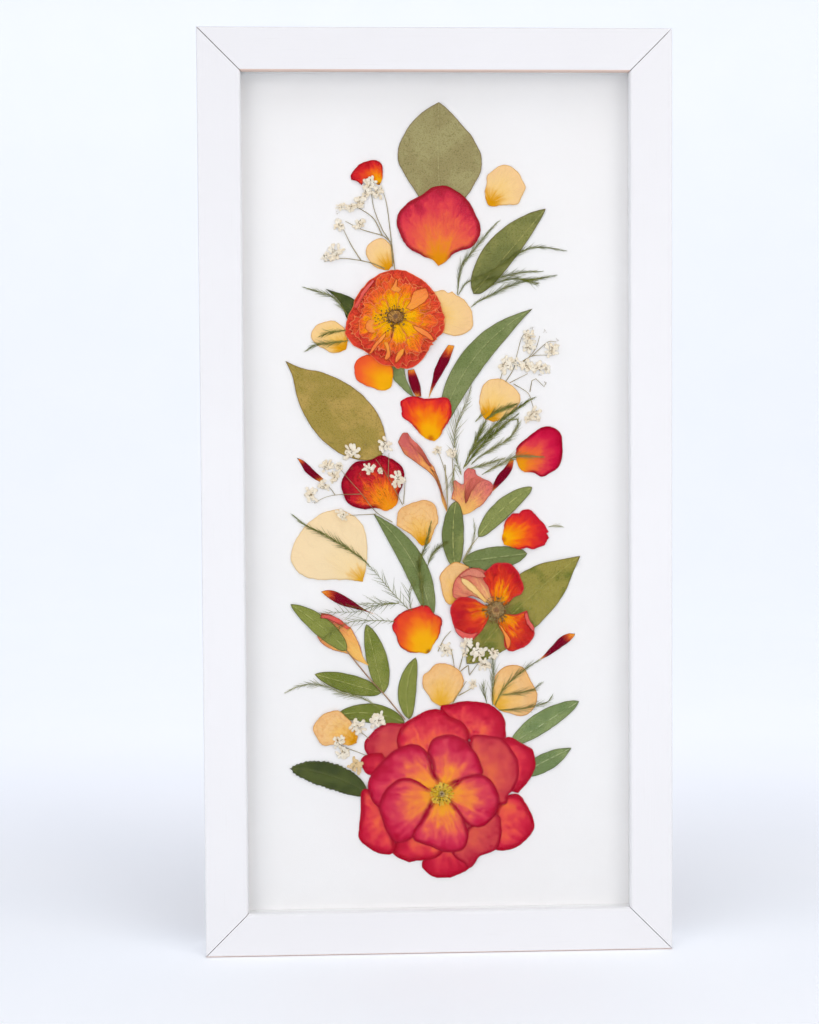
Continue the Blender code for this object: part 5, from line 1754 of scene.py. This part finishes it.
stems("gypsophila_stems_left", "gypsophila_stem", [
    [(-22, 212), (-30, 217), (-37, 226), (-44, 234), (-48, 239)],
    [(-37, 226), (-50, 225.5), (-56, 224), (-60, 221.5)],
    [(-50, 225.5), (-53, 229.5), (-57, 231.5)],
    [(-30, 216), (-43, 215.5)],
    [(-17, 220.5), (-24, 234), (-30, 243)],
    [(-24, 234), (-23.5, 246)],
    [(-16.5, 221), (-15.5, 234)],
    [(5, 220), (5, 232), (2, 243), (0, 247)],
    [(8, 235), (7.5, 245.5)],
], 0.2)
stems("gypsophila_stems_lower", "gypsophila_stem", [
    [(0, 148), (3, 154), (6.5, 158)],
    [(6.5, 149), (7.5, 144), (8, 140)],
    [(10.5, 139), (13, 148)],
    [(11, 138), (15, 141), (15.5, 136), (20, 142)],
    [(-50, 103), (-46, 101), (-36, 97)],
    [(-39, 109), (-34, 105)],
], 0.26)

# ------------------------------------------------------------------ florets
florets("florets_upper_left", [
    (-32, 377, 4), (-28, 373, 3.5), (-34, 373, 3), (-37, 369, 4), (-41, 366, 3), (-46, 366, 2.5),
    (-47, 357, 3.5),
    (-37, 358, 3.5), (-54, 342, 2.5), (-49, 344, 4),
], seed=31, buds=[(-48, 363)])
florets("florets_upper_right", [
    (45, 303, 3.5), (45, 298, 4), (57, 296, 4), (34, 288.5, 4.5), (38, 290, 3), (45, 288, 4.5),
    (50, 287.5, 3.5),
    (54, 287, 2.5), (48, 265, 4), (45.5, 262.5, 2.5),
], seed=37, buds=[(47, 307), (53.5, 305.5), (59.5, 300.5), (50.5, 284), (53.5, 280)])
florets("florets_left", [
    (-42, 246, 4.5), (-25, 250, 4), (-54, 239.5, 3.5), (-50, 234.5, 3.5), (-56, 230, 3.5), (-62, 226, 4),
    (-33, 238, 3.5), (-19, 233.5, 4.5), (-47, 216, 3.5), (-48, 240, 2.5), (-28, 237, 2), (0, 247, 2.5),
    (7.5, 245.5, 3),
], seed=43, buds=[(-35, 250), (-42, 238.5), (-38, 236), (-60, 222)])
florets("florets_centre_low", [
    (3.5, 149, 3.5), (14.5, 151.5, 3.5), (20, 147.5, 4.5), (27.5, 147, 3), (23, 141.5, 3.5),
    (17.5, 131.5, 2.5),
    (13, 147, 2),
], seed=47)
florets("florets_lower_left", [(-30, 114.5, 4.5), (-40, 111.5, 4.5), (-49, 104, 3.5), (-47, 98, 4)],
    seed=53)
florets("floret_buff", [(-41, 92, 4)], "buff_floret_petal", seed=59)


# ------------------------------------------------------------------ hearts
def heart_mound(name, finish, centre, radius, height, replaces=(), squeeze=1.0):
    """A pitted mound at a flower's heart."""
    angle = np.linspace(0, math.tau, 28, endpoint=False)
    loop = np.stack([centre[0] + radius * np.cos(angle), centre[1] + radius * squeeze * np.sin(angle)], 1)
    sheet = Sheet(loop, centre, wave=0.25, wave_length=2.0, seed=seed_of(name), pitch=0.3)
    mound = height * np.sqrt(np.clip(1 - (1 - sheet.edge / sheet.width) ** 2, 0, 1))
    mound += 0.14 * (1 + rippled(sheet.points, 0.8, sheet.seed))
    mound -= height * 0.6 * np.exp(-((sheet.far / 0.7) ** 2))
    return lay_piece(name, sheet, np.maximum(mound, 0), finish, replaces, slope=0.4)


def stamens(name, finish, centre, threads, shortest, longest, thread=0.07, bead=0.22, seed=1, rest=0.3):
    values = {
        "Threads": threads,
        "Shortest": shortest * MM,
        "Longest": longest * MM,
        "Thread Radius": thread * MM,
        "Bead Radius": bead * MM,
        "Seed": seed,
    }
    points = [(centre[0] * MM, BOARD_FACE, centre[1] * MM)]
    return settle(STAMENS.grow(name, points, [], finish, values), finish, rest=rest, slope=0.3)


heart_mound("rose_heart", "green_heart", ROSE_HEART, 2.2, 0.5, ["rose_heart"])
stamens("rose_stamens", "yellow_stamen", ROSE_HEART, 210, 2.3, 5.6, bead=0.42, seed=61)
stamens("rose_stamens_dark", "olive_stamen", ROSE_HEART, 44, 2.4, 5.8, bead=0.3, seed=67, rest=0.45)
heart_mound("open_rose_heart", "brown_heart", OPEN_HEART, 4.4, 0.6, ["open_rose_heart"])
stamens("open_rose_stamens", "straw_stem", OPEN_HEART, 90, 2.5, 6.2, bead=0.2, seed=71)
stamens("open_rose_stamens_dark", "brown_stamen", OPEN_HEART, 80, 4.2, 7.0, bead=0.34, seed=73, rest=0.4)
heart_mound("dried_rose_heart", "dried_heart", (-20, 312.5), 4.1, 0.6, squeeze=0.82)
stamens("dried_rose_stamens", "brown_stamen", (-20, 312.5), 70, 3.4, 5.6, bead=0.3, seed=79)
stamens("dried_rose_stamens_fallen", "brown_stamen", (-27, 312), 16, 0.5, 3.4, bead=0.34, seed=83,
    thread=0.05)
stamens("dried_rose_stamens_low", "brown_stamen", (-22, 306.5), 8, 0.4, 2.2, bead=0.34, seed=89,
    thread=0.05)

# ------------------------------------------------------------------ studio
scene = bpy.context.scene
scene.view_settings.view_transform = "Standard"

WALL_Y = 2.6              # far enough back for a camera to stand behind the frame
WALL_TOP = 2.6
FLOOR_FRONT = -2.2
FLOOR_DROP = 0.0002       # keeps the floor clear of the frame's foot
SWEEP_HALF = 3.0
SWEEP_RADIUS = 1.0
SWEEP_STEPS = 16
GLOW_FROM, GLOW_TO = -60.0, 700.0   # millimetres back, where the studio's glow starts and is full


def white_sweep():
    """A white floor that curves up far behind the frame, so the back can be seen too.

    It glows faintly, more with distance, to stand in for a bright studio. It isn't sampled as a lamp.
    """
    profile = [(FLOOR_FRONT, 0.0), (WALL_Y - SWEEP_RADIUS, 0.0)]
    for k in range(1, SWEEP_STEPS + 1):
        angle = math.pi / 2 * k / SWEEP_STEPS
        away = WALL_Y - SWEEP_RADIUS + SWEEP_RADIUS * math.sin(angle)
        profile.append((away, SWEEP_RADIUS * (1 - math.cos(angle))))
    profile.append((WALL_Y, WALL_TOP))
    points = [(x, y, z - FLOOR_DROP) for y, z in profile for x in (-SWEEP_HALF, SWEEP_HALF)]
    faces = [(2 * k, 2 * k + 1, 2 * k + 3, 2 * k + 2) for k in range(len(profile) - 1)]
    mesh = bpy.data.meshes.new("studio_sweep")
    mesh.from_pydata(points, [], faces)
    mesh.polygons.foreach_set("use_smooth", [True] * len(mesh.polygons))
    finish = Finish("studio_white", None, {"Specular IOR Level": 0.1, "Roughness": 0.9,
        "Emission Strength": 1.0})
    where = finish.place()
    finish.material.cycles.emission_sampling = "NONE"
    cloud = finish.noise(where, 0.01, 2)
    distance = finish.parts(where)[1].step(GLOW_FROM, GLOW_TO)
    finish.feed("Base Color", finish.mix(paint(246, 249, 253), paint(252, 253, 255), cloud))
    finish.feed("Emission Color", finish.mix(paint(84, 85, 88), paint(146, 149, 158), distance))
    mesh.materials.append(finish.material)
    sweep = bpy.data.objects.new("studio_sweep", mesh)
    scene.collection.objects.link(sweep)


white_sweep()


def area_light(name, place, target, size, power, colour):
    """A soft lamp. The flowers get its light straight on, so it isn't seen through the glass too."""
    lamp = bpy.data.lights.new(name, "AREA")
    lamp.shape = "RECTANGLE"
    lamp.size, lamp.size_y = size
    lamp.energy = power
    lamp.color = colour
    light = bpy.data.objects.new(name, lamp)
    light.location = place
    light.rotation_euler = (Vector(target) - Vector(place)).to_track_quat("-Z", "Y").to_euler()
    light.visible_transmission = False
    scene.collection.objects.link(light)
    return light


area_light("key", (0.8, -1.25, 0.85), (0, 0, 0.22), (1.0, 1.0), 5.6, (1.0, 0.975, 0.95))
area_light("fill", (-1.0, -1.3, 0.7), (0, 0, 0.22), (1.2, 1.2), 4.8, (0.97, 0.975, 1.0))
area_light("top", (0.0, -0.5, 1.7), (0, 0, 0.2), (1.6, 0.9), 5.0, (1.0, 0.98, 0.98))
area_light("low", (0.0, -0.75, 0.13), (0, 0, 0.0), (1.1, 0.16), 1.7,
    (0.84, 0.93, 1.0)).visible_glossy = False

WORLD_STRENGTH = 0.51
world = bpy.data.worlds.new("studio")
world.use_nodes = True
background = world.node_tree.nodes["Background"]
background.inputs["Color"].default_value = paint(244, 247, 255)
background.inputs["Strength"].default_value = WORLD_STRENGTH
scene.world = world

# Fitted to the eight corners of the frame.
CAMERA_PLACE = (-0.05155, -0.89022, 0.25272)
CAMERA_AHEAD = (0.042916, 0.998258, -0.040482)
CAMERA_UP = (0.007822, 0.040182, 0.999162)
CAMERA_LENS = 63.28
camera = bpy.data.cameras.new("camera")
camera.lens = CAMERA_LENS
camera.sensor_width = 36.0
camera.clip_start = 0.01
eye = bpy.data.objects.new("camera", camera)
ahead = Vector(CAMERA_AHEAD).normalized()
upward = Vector(CAMERA_UP)
right = ahead.cross(upward).normalized()
upward = right.cross(ahead).normalized()
turn = Matrix((right, upward, -ahead)).transposed().to_4x4()
eye.matrix_world = Matrix.Translation(CAMERA_PLACE) @ turn
scene.collection.objects.link(eye)
scene.camera = eye
